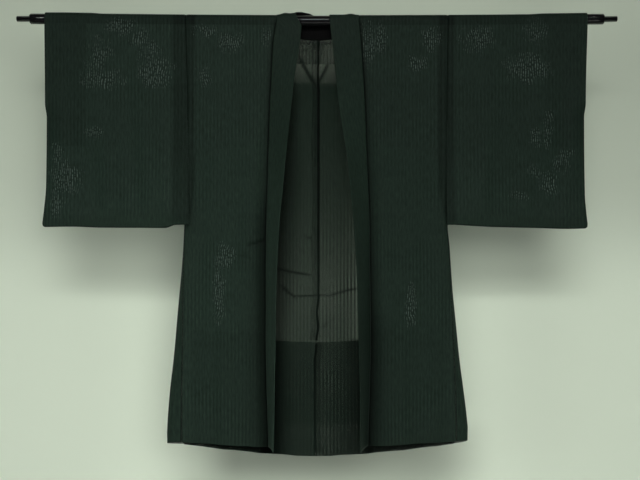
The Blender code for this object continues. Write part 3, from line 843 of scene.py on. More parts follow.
def gusset_cloth(side):
    """The gusset bends from the front panel's edge round its own fold to the back panel's edge."""
    drop = stepped(GUSSET_TOP, BODY_DROP, ROW_STEP)[:, None]
    around = np.linspace(-1, 1, 33)[None, :]
    panel = curve(SIDE[side], "panel", drop) + GAP
    fold = np.maximum(curve(SIDE[side], "fold", drop), panel + 0.5) + BODY_WALL / 2
    hem = np.where(
        around < 0,
        mixed(front_hem(side, panel), FOLD_HEM[side], 1 + around),
        mixed(FOLD_HEM[side], back_hem(panel), around),
    )
    bend = (hem - BODY_DROP) * eased(drop, HEM_STARTS, BODY_DROP)
    wave = GUSSET_WAVE * eased(drop, 500, 900) * np.sin(drop / 46) * (1 - around**2)
    x = mixed(fold, panel, around**2) + wave
    y = around * (WRAP + spread(drop))
    points = stacked(SIGN[side] * x, y, -drop - bend)
    flat = stacked(LIES_AT["gusset"] + GUSSET_HALF_WIDTH * around, drop)
    # Painted light: lighter low down, as on the outer cloth
    shade = 1 + LOWER_PAINTED_LIGHT[side] * eased(drop, *LOWER_DROPS)
    weave_and_light = {"sheer": np.where(around < 0.1, FRONT_SHEER, 1.0), "shade": shade}
    return points, flat, GUSSET_HALF_WIDTH * (1 - np.abs(around)), weave_and_light


# Collar


def collar_reach(drop):
    """How far the collar's free edge stands forward of its seam."""
    return COLLAR_REACH * (1 - np.exp(-np.maximum(drop, 0.0) / COLLAR_REACH_FADE))


def tip_step(side, run):
    """How much further out the left collar's free edge crosses the rod than it hangs."""
    return TIP_STEP * eased(run, *TIP_STARTS) if side == "left" else 0.0 * run


def tip_curl(side, run, t):
    """How far that edge curls forward off the rod."""
    return TIP_CURL * t**2 * tip_step(side, run) / TIP_STEP


def tip_rise(side, turned, t):
    """The left collar's free edge stands up off the rod as it turns in to the neck."""
    return curve(TIP_RISE, "rise", turned, "turned") * t**2 if side == "left" else 0.0 * t


def shoulder_hump(side, x, run):
    """The collar's layers stand off the rod in a low hump over each shoulder."""
    centre, height = SHOULDER_HUMP[side]
    return height * hump(x - centre, SHOULDER_HUMP_WIDTH) * (1 - eased(np.abs(run), *SHOULDER_HUMP_FADES))


def collar_front(side, drop, t):
    """The collar's middle sheet down the front, from its seam at t 0 to its free edge at t 1."""
    seam_x = curve(COLLAR[side], "seam", drop)
    edge_x = curve(COLLAR[side], "edge", drop) + tip_step(side, -QUARTER - drop)
    reach = collar_reach(drop)
    tilt = np.arctan2(reach, seam_x - edge_x)
    start_x = seam_x - GAP - COLLAR_WALL / 2 * np.sin(tilt)
    seam = drape(side, seam_x, -QUARTER - drop, -COLLAR_LIFT)
    bow = COLLAR_BOW * np.sin(math.pi * t) * np.sin(tilt)
    wave = COLLAR_WAVE * eased(drop, 200, 700) * np.sin(drop / 83 + {"left": 0.4, "right": 2.2}[side]) * t
    x = mixed(start_x, edge_x, t) - bow + wave
    falls = (COLLAR_HEM_AT_EDGE - FRONT_HEM_AT_COLLAR[side]) * t * eased(drop, HEM_STARTS, BODY_DROP)
    curl = tip_curl(side, -QUARTER - drop, t)
    return stacked(SIGN[side] * x, seam[..., 1] - reach * t - curl, seam[..., 2] - falls)


def collar_on_rod(side, x, run, lift):
    """Points of the collar where it lies on the rod, lifted a little."""
    return drape(side, x, run, -COLLAR_LIFT - shoulder_hump(side, x, run) - lift)


def collar_top(side, seam_x, seam_run, turned, t):
    """The collar over the rod and round to the centre back, where its rows fan out by a quarter turn."""
    turn = math.pi / 2 * turned
    edge_x = COLLAR[side]["edge"][0] + tip_step(side, 0.0)
    x = mixed(seam_x, edge_x * np.cos(turn), t)
    run = mixed(seam_run, BAND_TOP * np.sin(turn), t)
    band = BAND_LIFT * turned**0.5 * np.sin(math.pi / 2 * t)
    curl = tip_curl(side, 0.0, t) * (1 - eased(turned, 0, 0.4))
    points = collar_on_rod(side, x, run, band + curl)
    points[..., 2] += tip_rise(side, turned, t) - curl
    return points


def collar_ridge(side, run, t):
    """The collar from the front over the rod to its ridge."""
    shoulder, edge_x = COLLAR[side]["seam"][0] - GAP, COLLAR[side]["edge"][0] + tip_step(side, run)
    x = mixed(shoulder, edge_x, t)
    curl = tip_curl(side, run, t)
    points = collar_on_rod(side, x, run, curl)
    points[..., 2] += (tip_rise(side, 0.0, t) - curl) * eased(run, -16, 0)
    return points


def collar_half(side, t):
    """(points, length along the collar) of one half, from the front hem to the centre back."""
    drop = stepped(BODY_DROP, 0, ROW_STEP)[:, None]
    front = collar_front(side, drop, t)
    ridge = collar_ridge(side, stepped(-QUARTER, 0, RIDGE_STEP)[1:-1, None], t)
    angles = np.radians(np.concatenate([np.arange(0, 84, 3), np.arange(84, 91, 2)]))
    neck_x, neck_run = neck_curve(side, angles, GAP)
    seam_x = np.concatenate([np.full(4, COLLAR[side]["seam"][0] - GAP), neck_x])[:, None]
    seam_run = np.concatenate([np.linspace(0, NECK_START, 5)[:-1], neck_run])[:, None]
    turned = np.linspace(0, 1, len(seam_x))[:, None]
    top = collar_top(side, seam_x, seam_run, turned, t)
    points = np.concatenate([front, ridge, top])
    steps = np.linalg.norm(np.diff(points[:, len(t[0]) // 3], axis=0), axis=1)
    return points, np.concatenate([[0], np.cumsum(steps)])


def normals_of(points):
    across = np.gradient(points, axis=1)
    along = np.gradient(points, axis=0)
    normal = np.cross(along, across)
    return normal / np.linalg.norm(normal, axis=-1, keepdims=True)


def collar_middle():
    """The whole collar's middle sheet, hem to hem: (points, normals, half its thickness, length)."""
    t = np.linspace(0, 1, COLLAR_COLUMNS)[None, :]
    left, left_length = collar_half("left", t)
    right, right_length = collar_half("right", t)
    middle = np.concatenate([left, right[-2::-1]])
    length = np.concatenate([left_length - left_length[-1], right_length[-1] - right_length[-2::-1]])
    half = COLLAR_FOLD_RADIUS * np.sqrt(eased(t, -0.15, 0.55))[..., None]
    return middle, normals_of(middle), half, length


def collar_cloth():
    """The collar is one strip folded in half along its free edge, with both its edges in the seam."""
    middle, normal, half, length = collar_middle()
    outer, inner = middle + normal * half, middle - normal * half
    out = middle[:, -1] - middle[:, -2]
    out /= np.linalg.norm(out, axis=-1, keepdims=True)
    turns = np.radians([30, 60, 90, 120, 150])[None, :, None]
    edge, edge_normal = middle[:, -1:], normal[:, -1:]
    fold = edge + COLLAR_FOLD_RADIUS * (edge_normal * np.cos(turns) + out[:, None] * np.sin(turns))
    points = np.concatenate([outer, fold, inner[:, ::-1]], axis=1)
    width = np.linalg.norm(np.diff(points, axis=1), axis=-1).cumsum(axis=1)
    width = np.concatenate([0 * width[:, :1], width], axis=1)
    flat = stacked(LIES_AT["collar"] + width, length[:, None])
    # The collar's shade is painted light and shade
    weave_and_light = {"sheer": 0.0, "shade": collar_shade(length, width), "stripes": COLLAR_STRIPES}
    return points, flat, np.minimum(width, width[:, -1:] - width), weave_and_light


def collar_shade(length, width):
    """How light the collar is, all painted light and shade: each half is lit its own way, the left far more
    low down, with painted shadow towards its seam low down.
    """
    drop = np.abs(length[:, None]) - SHOULDER_LENGTH
    from_seam = np.minimum(width, width[:, -1:] - width)
    shade = np.ones_like(from_seam)
    for side, here in (("left", length[:, None] < 0), ("right", length[:, None] >= 0)):
        tone = curve(COLLAR_PAINTED_LIGHT[side], "tone", drop)
        deep = COLLAR_SEAM_SHADOW[side] * eased(drop, 350, 700)
        lit = tone * (1 - deep * np.exp(-from_seam / COLLAR_SHADOW_REACH))
        shade = np.where(here, lit, shade)
    return shade


def dark_neck_strip():
    """A near-black strip inside the collar, round the back of the neck."""
    middle, normal, half, length = collar_middle()
    near = np.abs(length) < DARK_STRIP_HALF_LENGTH
    away = np.sign(normal[len(middle) // 2, 0, 1])
    points = (middle - away * normal * (half + SHELL))[near]
    across = DARK_STRIP_COLUMN_STEP * np.arange(COLLAR_COLUMNS)
    flat = stacked(LIES_AT["dark neck strip"] + across, length[near, None])
    return points, flat, NO_SEAM, {}


# Sleeves


def sleeve_bottom(side, x):
    return curve(SLEEVE_BOTTOM[side], "drop", x, "x")


def sleeve_edge(side, x, drop):
    """The outer edge at a drop, rounded at the bottom corner."""
    edge = curve(SLEEVE_EDGE[side], "edge", drop) + 0 * x
    into = np.clip(drop - (sleeve_bottom(side, edge) - CORNER_RADIUS), 0, CORNER_RADIUS)
    return edge - CORNER_RADIUS + np.sqrt(CORNER_RADIUS**2 - into**2)


def sleeve_inner_edge(side, face, drop):
    """The edge towards the body. Below the armhole it is free, and passes in front of the body."""
    seam = curve(SIDE[side], "panel", drop) + GAP
    at_bottom = FURI_AT_BOTTOM[side]
    bottom = sleeve_bottom(side, at_bottom)
    if face < 0:
        clear = curve(SIDE[side], "panel", FURI_CLEAR_DROP) + GAP
        down = np.maximum(drop - FURI_CLEAR_DROP, 0) / (bottom - FURI_CLEAR_DROP)
        free = mixed(np.minimum(seam, clear), at_bottom, down)
    else:
        beside = curve(SIDE[side], "fold", drop) + FURI_CLEARANCE
        beside = mixed(seam, beside, eased(drop, ARMHOLE_DROP, FURI_CLEAR_DROP))
        free = mixed(beside, at_bottom, eased(drop, FURI_BACK_DROP, bottom))
    return np.where(drop <= ARMHOLE_DROP, seam, free)


def sleeve_wrap(from_edge):
    """The radius over the rod, larger where the cuff facing lies under the sleeve."""
    facing = LINING_WALL + GAP
    return WRAP + facing * (1 - eased(from_edge, FACING_WIDTH + FACING_MARGIN, FACING_WIDTH + FACING_EASE))


def sleeve_middle(x, drop):
    """The sleeve's middle depth: below the armhole it swings forward, most of all beside the body."""
    swing = np.clip((drop - ARMHOLE_DROP) / SWING_DROP, 0.0, 1.0)
    swing = swing * swing * (1.5 - 0.5 * swing)
    return -SLEEVE_SWING * swing * mixed(1, SWING_LEFT_AT_CUFF, eased(x, *SWING_EASES))


def sleeve_half_depth(x, edge, drop):
    """Half the distance between the sleeve's front and back, which meet at the closed part of the edge."""
    from_edge = np.maximum(edge - x, 0)
    upper = sleeve_wrap(from_edge) + spread(np.minimum(drop, ARMHOLE_DROP))
    half = mixed(upper, BOTTOM_HALF_DEPTH, eased(drop, ARMHOLE_DROP, FURI_BACK_DROP))
    closed = eased(drop, CUFF_DROP - CUFF_CLOSE, CUFF_DROP)
    part = 1 - np.minimum(from_edge / EDGE_ROUNDING, 1)
    return half * mixed(1, np.sqrt(np.maximum(1 - part * part, 0.0)), closed)


def sleeve_waves(side, face, x, drop, edge):
    """The sleeve's waves, which fade out at its edges."""
    phase = {"left": 1.1, "right": 0.2}[side] + (0.0 if face < 0 else 2.3)
    window = eased(x, 306, 350) * (1 - eased(x, edge - 55, edge - 12)) * (1 - eased(drop, 430, 470))
    return window * waves("sleeve", phase, x, drop)


def sleeve_row_edge(side, part):
    edge_x = curve(SLEEVE_EDGE[side], "edge", part * SLEEVE_DROP)
    return sleeve_edge(side, edge_x, part * (sleeve_bottom(side, edge_x) - BOTTOM_HALF_DEPTH))


def sleeve_sheet(side, face, part, x, edge, inset):
    """Points of the front (face -1) or the back (face 1), at a part of the way down to the bottom fold."""
    drop = part * (sleeve_bottom(side, x) - BOTTOM_HALF_DEPTH)
    half = sleeve_half_depth(x, edge, drop) - inset - sleeve_waves(side, face, x, drop, edge)
    return stacked(SIGN[side] * x, sleeve_middle(x, drop) + face * half, -drop)


def sleeve_columns(inner, outer):
    """Places from the inner seam to the outer edge, close together where the closed edge rounds off."""
    near_seam = np.array(NEAR_SEAM)
    near_edge = EDGE_ROUNDING * np.linspace(1, 0, 13) ** 2
    at_facing = outer - FACING_WIDTH + np.array([-1.2, 1.2])
    plain = mixed(inner + near_seam[-1], at_facing[:, :1], np.linspace(0, 1, 40)[1:-1])
    over_facing = mixed(at_facing[:, 1:], outer - EDGE_ROUNDING, np.linspace(0, 1, 11)[1:-1])
    return np.concatenate([inner + near_seam, plain, at_facing, over_facing, outer - near_edge], axis=1)


def sleeve_ridge(side, angles, x, edge, inset):
    """Points over the rod, at angles from the top: negative to the front."""
    radius = sleeve_wrap(edge - x) - inset
    return stacked(SIGN[side] * x, radius * np.sin(angles), radius * np.cos(angles))


def sleeve_fold(side, x, edge, angles):
    """Points round the bottom fold, at angles from the front sheet: a half turn is the back sheet."""
    below = BOTTOM_HALF_DEPTH * np.sin(angles)
    drop = sleeve_bottom(side, x) - BOTTOM_HALF_DEPTH
    half = sleeve_half_depth(x, edge, drop)
    y = sleeve_middle(x, drop) - half * np.cos(angles)
    return stacked(SIGN[side] * x, y, -drop - below)


def sleeve_cloth(side):
    """Rows all the way round the sleeve: over the rod, down the front, round the bottom, up the back."""
    parts = with_rod_edge(np.linspace(0, SLEEVE_DROP, SLEEVE_ROWS))[:, None] / SLEEVE_DROP
    pieces, flats, seams = [], [], []

    def add(points, x, run, seam):
        pieces.append(points)
        flats.append(stacked(x, run))
        seams.append(seam + 0 * x)

    def ridge_rows(angles):
        inner, edge = SIDE[side]["panel"][0] + GAP + 0 * angles, SLEEVE_EDGE[side]["edge"][0] + 0 * angles
        x = sleeve_columns(inner, edge)
        dip = SEAM_DIP * hump(x - inner, SEAM_DIP_WIDTH)
        add(sleeve_ridge(side, angles, x, edge, dip), x, WRAP * angles, x - inner)

    def sheet_rows(face, parts):
        edge, drop = sleeve_row_edge(side, parts), parts * SLEEVE_DROP
        inner = sleeve_inner_edge(side, face, parts * (sleeve_bottom(side, 0.0) - BOTTOM_HALF_DEPTH))
        x = sleeve_columns(inner, edge)
        seam = 1 - eased(drop, ARMHOLE_DROP, ARMHOLE_DROP + 30)
        dip = SEAM_DIP * seam * hump(x - inner, SEAM_DIP_WIDTH)
        points = sleeve_sheet(side, face, parts, x, edge, dip)
        add(points, x, face * (QUARTER + drop), x - inner + NO_SEAM * (1 - seam))

    def fold_rows(angles):
        edge_x, below = SLEEVE_EDGE[side]["edge"][-1], BOTTOM_HALF_DEPTH * np.sin(angles)
        edge = sleeve_edge(side, edge_x, sleeve_bottom(side, edge_x) - BOTTOM_HALF_DEPTH + below)
        x = sleeve_columns(FURI_AT_BOTTOM[side] + 0 * angles, edge)
        run = -QUARTER - SLEEVE_DROP - BOTTOM_HALF_DEPTH * angles
        add(sleeve_fold(side, x, edge, angles), x, run, NO_SEAM)

    half = len(OVER_ROD) // 2 + 1
    ridge_rows(OVER_ROD[:half][::-1])
    sheet_rows(-1, parts)
    fold_rows(np.radians(np.arange(15, 170, 15.0))[:, None])
    sheet_rows(1, parts[::-1])
    ridge_rows(OVER_ROD[half:][::-1])
    flat = np.concatenate(flats)
    return np.concatenate(pieces), flat, np.concatenate(seams), outer_weave_and_light(side, flat)


def facing_cloth(side):
    """A strip inside the cuff opening, from the front over the rod to the back."""
    parts = stepped(0, FACING_DROP / SLEEVE_DROP, ROW_STEP / SLEEVE_DROP)[:, None]

    def places(edge, drop):
        closing = eased(drop, CUFF_DROP - 2 * CUFF_CLOSE, CUFF_DROP - CUFF_CLOSE)
        last = edge - mixed(FACING_EDGE, FACING_CLOSED_EDGE, closing)
        return mixed(edge - FACING_WIDTH, last, np.linspace(0, 1, FACING_COLUMNS) ** 0.8)

    def sheet(face, parts):
        edge, drop = sleeve_row_edge(side, parts), parts * SLEEVE_DROP
        sunk = LAYER_INSET + FACING_SLACK * eased(drop, FACING_SLACK_STARTS, CUFF_DROP - CUFF_CLOSE)
        x = places(edge, drop)
        points = sleeve_sheet(side, face, parts, x, edge, sunk)
        return points, stacked(LIES_AT["facing"] + x, face * (QUARTER + drop))

    edge = SLEEVE_EDGE[side]["edge"][0] + 0 * OVER_ROD
    x = places(edge, 0 * edge)
    ridge = sleeve_ridge(side, OVER_ROD, x, edge, LAYER_INSET)
    ridge_flat = stacked(LIES_AT["facing"] + x, WRAP * OVER_ROD)
    front, front_flat = sheet(-1, parts[::-1])
    back, back_flat = sheet(1, parts)
    flat = np.concatenate([front_flat, ridge_flat, back_flat])
    return np.concatenate([front, ridge, back]), flat, NO_SEAM, {}


def armhole_strip(side, of_body):
    """An allowance of the sleeve's seam, folded flat inside the body or inside the sleeve."""
    drops = stepped(0, ARMHOLE_DROP - 6, ROW_STEP)[:, None]
    seam, seam_top = curve(SIDE[side], "panel", drops), SIDE[side]["panel"][0]
    if of_body:
        across = ARMHOLE_ALLOWANCE[side] * np.array(STRIP_COLUMNS)
        ridge = drape(side, seam_top - across - GAP, WRAP * OVER_ROD, ALLOWANCE_INSET)
    else:
        across = SLEEVE_ALLOWANCE[side] * np.array(STRIP_COLUMNS)
        edge = SLEEVE_EDGE[side]["edge"][0]
        ridge = sleeve_ridge(side, OVER_ROD, seam_top + across + 2 * GAP, edge, ALLOWANCE_INSET)

    def sheet(face):
        if of_body:
            return drape(side, seam - across - GAP, face * (QUARTER + drops), ALLOWANCE_INSET)
        edge = sleeve_row_edge(side, drops / SLEEVE_DROP)
        return sleeve_sheet(side, face, drops / SLEEVE_DROP, seam + across + 2 * GAP, edge, ALLOWANCE_INSET)

    points = np.concatenate([sheet(-1)[::-1], ridge, sheet(1)])
    along = np.concatenate([-QUARTER - drops[::-1], WRAP * OVER_ROD, QUARTER + drops])
    return points, stacked(LIES_AT["armhole strip"] + across, along), across, {}


# Meshes


def placed(name, data):
    """A new object in the scene."""
    made = bpy.data.objects.new(name, data)
    bpy.context.scene.collection.objects.link(made)
    return made


def cloth_mesh(name, points, flat, weave_and_light, ring):
    """Quads over a grid of points, with its flat places as a UV map and its weave and light as attributes."""
    rows, columns = points.shape[:2]
    i, j = np.meshgrid(np.arange(rows if ring else rows - 1), np.arange(columns - 1), indexing="ij")
    here, there = i * columns + j, (i + 1) % rows * columns + j
    faces = np.stack([here, here + 1, there + 1, there], axis=-1).reshape(-1, 4)
    mesh = bpy.data.meshes.new(name)
    mesh.from_pydata((sagged(points).reshape(-1, 3) * METRES).tolist(), [], faces.tolist())
    uv = mesh.uv_layers.new(name="cloth")
    uv.data.foreach_set("uv", (flat.reshape(-1, 2)[faces.ravel()] * METRES).ravel())
    for key, value in weave_and_light.items():
        value = np.broadcast_to(value, (rows, columns)).astype(np.float32)
        mesh.attributes.new(key, "FLOAT", "POINT").data.foreach_set("value", value.ravel())
    if ring:
        welded = bmesh.new()
        welded.from_mesh(mesh)
        bmesh.ops.remove_doubles(welded, verts=welded.verts, dist=1e-5)
        welded.to_mesh(mesh)
        welded.free()
    mesh.shade_smooth()
    return mesh


def outer_weave_and_light(side, flat):
    """The attributes of an outer cloth. What its front shows of the layers behind, and the light and shade
    that fall on it, are painted into its tone.
    """
    x, run = np.abs(flat[..., 0]), flat[..., 1]
    shade = painted_light_and_shade(side, flat)
    # The back's sheer carries painted light and shade: by drop, by side and under the collar
    high = curve(HIGH_SHEER, "sheer", run - QUARTER)
    back = mixed(high, LOW_SHEER[side], eased(run, *LOW_SHEER_DROPS))
    sheer = np.where(run < 0, FRONT_SHEER, back * under_collar(side, x, run))
    return {"gleam": gleam(side, flat), "shade": shade, "sheer": sheer, "stripes": stripes_show(side, x, run)}


def add_cloth(name, cloth, material, replaced=(), ring=False):
    """A cloth piece that rides on the rod's body and stands for its CAD solids."""
    points, flat, seam, weave_and_light = cloth
    weave_and_light = {"seam": seam * METRES, **PLAIN_WEAVE_AND_LIGHT, **weave_and_light}
    piece = placed(name, cloth_mesh(name, points, flat, weave_and_light, ring))
    piece.data.materials.append(material)
    solid = piece.modifiers.new("Shell", "SOLIDIFY")
    solid.thickness = SHELL * METRES
    solid.offset = 0
    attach(piece, "root")
    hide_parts(*replaced)
    return piece


# Materials


class Nodes:
    """A short way to write a material's node tree."""

    def __init__(self, name):
        self.material = bpy.data.materials.new(name)
        self.material.use_nodes = True
        self.tree = self.material.node_tree
        self.tree.nodes.clear()
        self.output = self.tree.nodes.new("ShaderNodeOutputMaterial")

    def add(self, kind, inputs=(), **settings):
        node = self.tree.nodes.new(kind)
        for key, value in settings.items():
            setattr(node, key, value)
        for key, value in dict(inputs).items():
            self.put(node.inputs[key], value)
        return node

    def put(self, socket, value):
        if isinstance(value, bpy.types.NodeSocket):
            self.tree.links.new(value, socket)
        else:
            socket.default_value = value

    def math(self, operation, *values, clamp=False):
        node = self.add("ShaderNodeMath", operation=operation, use_clamp=clamp)
        for socket, value in zip(node.inputs, values):
            self.put(socket, value)
        return node.outputs[0]

    def times(self, *values):
        """The product of two or more values."""
        return functools.reduce(lambda product, value: self.math("MULTIPLY", product, value), values)

    def line(self, value, slope, start, clamp=False):
        """value * slope + start"""
        return self.math("MULTIPLY_ADD", value, slope, start, clamp=clamp)

    def wave(self, place, pitch):
        """0 to 1 and back over each pitch of a place in metres."""
        return self.line(self.math("SINE", self.times(place, 2 * math.pi / pitch)), 0.5, 0.5)

    def attribute(self, name):
        return self.add("ShaderNodeAttribute", attribute_name=name).outputs["Fac"]

    def flat(self):
        """The cloth's flat places."""
        return self.add("ShaderNodeUVMap", uv_map="cloth").outputs[0]

    def scaled(self, vector, scale):
        return self.add("ShaderNodeMapping", {"Vector": vector, "Scale": scale}).outputs[0]

    def tinted(self, colour, tone):
        return self.add("ShaderNodeVectorMath", {0: colour, 1: tone}, operation="MULTIPLY").outputs[0]

    def noise(self, vector, scale, detail=2.0, roughness=0.5):
        inputs = {"Vector": vector, "Scale": scale, "Detail": detail, "Roughness": roughness}
        return self.add("ShaderNodeTexNoise", inputs).outputs["Fac"]

    def stepped(self, value, start, end, low, high):
        """low before start and high after end, with a smooth step between them."""
        inputs = {"Value": value, "From Min": start, "From Max": end, "To Min": low, "To Max": high}
        return self.add("ShaderNodeMapRange", inputs, interpolation_type="SMOOTHSTEP").outputs[0]

    def shader(self, **inputs):
        node = self.add("ShaderNodeBsdfPrincipled")
        for key, value in inputs.items():
            self.put(node.inputs[key.replace("_", " ")], value)
        self.tree.links.new(node.outputs[0], self.output.inputs["Surface"])
        return node


# The weave, in metres: the pitch of its threads, picks and stripes, how far a stripe wanders, and the size
# of a streak across and along the cloth. How open and how light each makes it, as a change of plain or as a
# pair, (least, most)
THREAD_PITCH = 0.0007
THREADS_OPEN = (0.6, 1.4)
PICK_PITCH = 0.0011
PICKS_OPEN = (0.8, 1.2)
STRIPE_PITCH = 0.0082
STRIPE_WANDER = 0.006
STRIPES_OPEN = 0.7
STRIPES_SHOW = 0.32
STREAK = (0.0030, 0.0170)
STREAKS_OPEN = 0.5
STREAKS_SHOW = 1.1
SEAM_TONE = (0.4, 1.0)

# The cloth's uneven grain, each kind as (scale, detail, roughness, slope, start) of noise * slope + start
GRAINS = {
    "lean": (2.3, 1.0, 0.5, 1.0, -0.5),
    "fade": (9.0, 3.0, 0.5, 3.4, -1.2),
    "streaks": (1.0, 2.0, 0.5, 1.0, -0.5),
    "mottle": (26.0, 4.0, 0.6, 0.34, 0.83),
    "tufts": (170.0, 1.0, 0.5, 7.0, -3.2),
    "swirl": (17.0, 1.5, 0.5, 5.0, 0.0),
    "broken": (180.0, 1.0, 0.5, 5.0, -2.0),
    "ragged": (45.0, 2.0, 0.5, 3.0, -1.5),
}

# The painted gleams: their lines' pitch and colour, how thin they are, how far a patch reaches into its
# ragged edge, and how much painted shade lies on the cloth between them
GLEAM_PITCH = 0.0047
GLEAM_COLOUR = (0.088, 0.121, 0.100, 1)
GLEAM_THINNESS = 4.0
GLEAM_EDGE = 1.6
GLEAM_GAPS = 0.22

# Colours, and how much light each gauze lets through
GAUZE_COLOUR = (0.0138, 0.0245, 0.0173)
SHEEN_TINT = (0.7, 1.0, 0.8, 1)
OPEN_SHARES = {"silk": 0.165, "neck": 0.60, "collar": 0.06}
DARK_STRIP_COLOUR = (0.0030, 0.0032, 0.0030)
LACQUER_COLOUR = (0.006, 0.006, 0.0065)
LACQUER_TINT = (0.93, 1.0, 0.90, 1)

# Half the width of a seam, which lets no light through
SEAM_CORE = 0.0008


def gauze_material(name, open_share):
    """Silk gauze: fine upright threads with light between them, in stripes of a closer and opener weave."""
    n = Nodes(name)
    flat = n.flat()
    across, along = n.add("ShaderNodeSeparateXYZ", {"Vector": flat}).outputs[:2]

    def grain(kind, vector=flat, clamp=False):
        scale, detail, roughness, slope, start = GRAINS[kind]
        return n.line(n.noise(vector, scale, detail, roughness), slope, start, clamp=clamp)

    def between(value, low_high):
        return n.line(value, low_high[1] - low_high[0], low_high[0])

    stripes = n.wave(n.line(grain("lean"), STRIPE_WANDER, across), STRIPE_PITCH)
    stripes = n.times(n.math("SUBTRACT", stripes, 0.5), grain("fade", clamp=True), n.attribute("stripes"))
    streaks = grain("streaks", n.scaled(flat, (1 / STREAK[0], 1 / STREAK[1], 1)))

    seam = n.line(n.attribute("seam"), 1 / SEAM_CORE, -1.0, clamp=True)
    tufts = n.times(grain("tufts", clamp=True), n.attribute("gather"))
    seam = n.times(seam, n.math("SUBTRACT", 1.0, tufts))
    weave = n.times(
        between(n.wave(across, THREAD_PITCH), THREADS_OPEN),
        between(n.wave(along, PICK_PITCH), PICKS_OPEN),
        n.line(stripes, STRIPES_OPEN, 1.0),
        n.line(streaks, STREAKS_OPEN, 1.0),
    )
    through = n.times(weave, open_share, seam, n.attribute("sheer"))
    alpha = n.math("SUBTRACT", 1.0, n.math("SQRT", n.math("MAXIMUM", through, 0.0)), clamp=True)
    tone = n.times(
        n.line(stripes, STRIPES_SHOW, 1.0),
        grain("mottle"),
        n.line(streaks, STREAKS_SHOW, 1.0),
        between(seam, SEAM_TONE),
        n.attribute("shade"),
    )

    # Painted light: bright gleam lines mixed into the colour, with painted shade between them
    patch = n.attribute("gleam")
    swirled = n.wave(n.line(grain("swirl"), GLEAM_PITCH, across), GLEAM_PITCH)
    lines = n.math("POWER", swirled, GLEAM_THINNESS)
    ragged = n.line(patch, GLEAM_EDGE, grain("ragged"), clamp=True)
    patch = n.times(ragged, n.math("GREATER_THAN", patch, 0.001))
    mix = n.add("ShaderNodeMix", data_type="RGBA")
    n.put(mix.inputs[0], n.times(lines, grain("broken", clamp=True), patch))
    n.put(mix.inputs[6], n.tinted(n.tinted(GAUZE_COLOUR, tone), n.line(patch, -GLEAM_GAPS, 1.0)))
    n.put(mix.inputs[7], GLEAM_COLOUR)

    height = n.math("ADD", streaks, stripes)
    bump = n.add("ShaderNodeBump", {"Height": height, "Strength": 0.3, "Distance": 0.00025})
    n.shader(
        Base_Color=mix.outputs[2],
        Alpha=alpha,
        Roughness=0.6,
        Specular_IOR_Level=0.05,
        Sheen_Weight=0.03,
        Sheen_Roughness=0.45,
        Sheen_Tint=SHEEN_TINT,
        Normal=bump.outputs[0],
    )
    return n.material


def dark_strip_material():
    """Near black and dull, with a fine grain."""
    n = Nodes("Dark neck strip")
    weave = n.noise(n.scaled(n.flat(), (900, 260, 1)), 1.0)
    base = n.tinted(DARK_STRIP_COLOUR, n.line(weave, 0.8, 0.6))
    n.shader(Base_Color=base, Roughness=0.75, Specular_IOR_Level=0.06)
    return n.material


def lacquer_material():
    """Black lacquer over wood: glossy, with fine dust and faint brush lines along the rod."""
    n = Nodes("Black lacquer")
    place = n.add("ShaderNodeTexCoord").outputs["Object"]
    brush = n.noise(n.scaled(place, (6, 160, 160)), 1.0, detail=3.0)
    dust = n.noise(place, 420.0)
    bump = n.add("ShaderNodeBump", {"Height": brush, "Strength": 0.12, "Distance": 0.0003})
    n.shader(
        Base_Color=n.tinted(LACQUER_COLOUR, n.line(dust, 0.6, 0.7)),
        Roughness=n.line(brush, 0.08, n.line(dust, 0.10, 0.03)),
        Specular_IOR_Level=0.4,
        Specular_Tint=LACQUER_TINT,
        Normal=bump.outputs[0],
    )
    return n.material


def floor_material():
    n = Nodes("Dark floor")
    n.shader(Base_Color=FLOOR_COLOUR, Roughness=0.9, Specular_IOR_Level=0.1)
    return n.material


def wall_material():
    """A pale wall that a camera behind it looks through, and that stops no lamp."""
    n = Nodes("Pale wall")
    place = n.add("ShaderNodeSeparateXYZ", {"Vector": n.add("ShaderNodeTexCoord").outputs["Object"]}).outputs
    # Darker high up and lighter low down, painted shade at the sides, and a painted shadow under the hem
    down = n.stepped(place["Z"], *WALL_DOWN)
    aside = n.stepped(n.math("ABSOLUTE", place["X"]), *WALL_ASIDE)
    shadow = n.times(*(n.stepped(place[axis], *step) for axis, step in HEM_SHADOW))
    tone = n.times(down, aside, n.line(shadow, -HEM_SHADOW_DEPTH, 1.0))
    shader = n.shader(Base_Color=n.tinted(WALL_COLOUR, tone), Roughness=0.95, Specular_IOR_Level=0.05)
    behind = n.add("ShaderNodeNewGeometry").outputs["Backfacing"]
    path = n.add("ShaderNodeLightPath").outputs
    unseen = n.math("MAXIMUM", n.times(behind, path["Is Camera Ray"]), path["Is Shadow Ray"])
    clear = n.add("ShaderNodeBsdfTransparent")
    mix = n.add("ShaderNodeMixShader", {0: unseen, 1: shader.outputs[0], 2: clear.outputs[0]})
    n.tree.links.new(mix.outputs[0], n.output.inputs["Surface"])
    return n.material


# Room, lights and camera


def add_plane(name, corners, material):
    mesh = bpy.data.meshes.new(name)
    mesh.from_pydata(corners, [], [(0, 1, 2, 3)])
    mesh.materials.append(material)
    placed(name, mesh)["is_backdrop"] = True


def add_room():
    r = ROOM_HALF
    wall = [(-r, WALL_Y, FLOOR_Z), (r, WALL_Y, FLOOR_Z), (r, WALL_Y, 2 * r), (-r, WALL_Y, 2 * r)]
    floor = [(-r, -r, FLOOR_Z), (r, -r, FLOOR_Z), (r, r, FLOOR_Z), (-r, r, FLOOR_Z)]
    add_plane("wall", wall, wall_material())
    add_plane("floor", floor, floor_material())


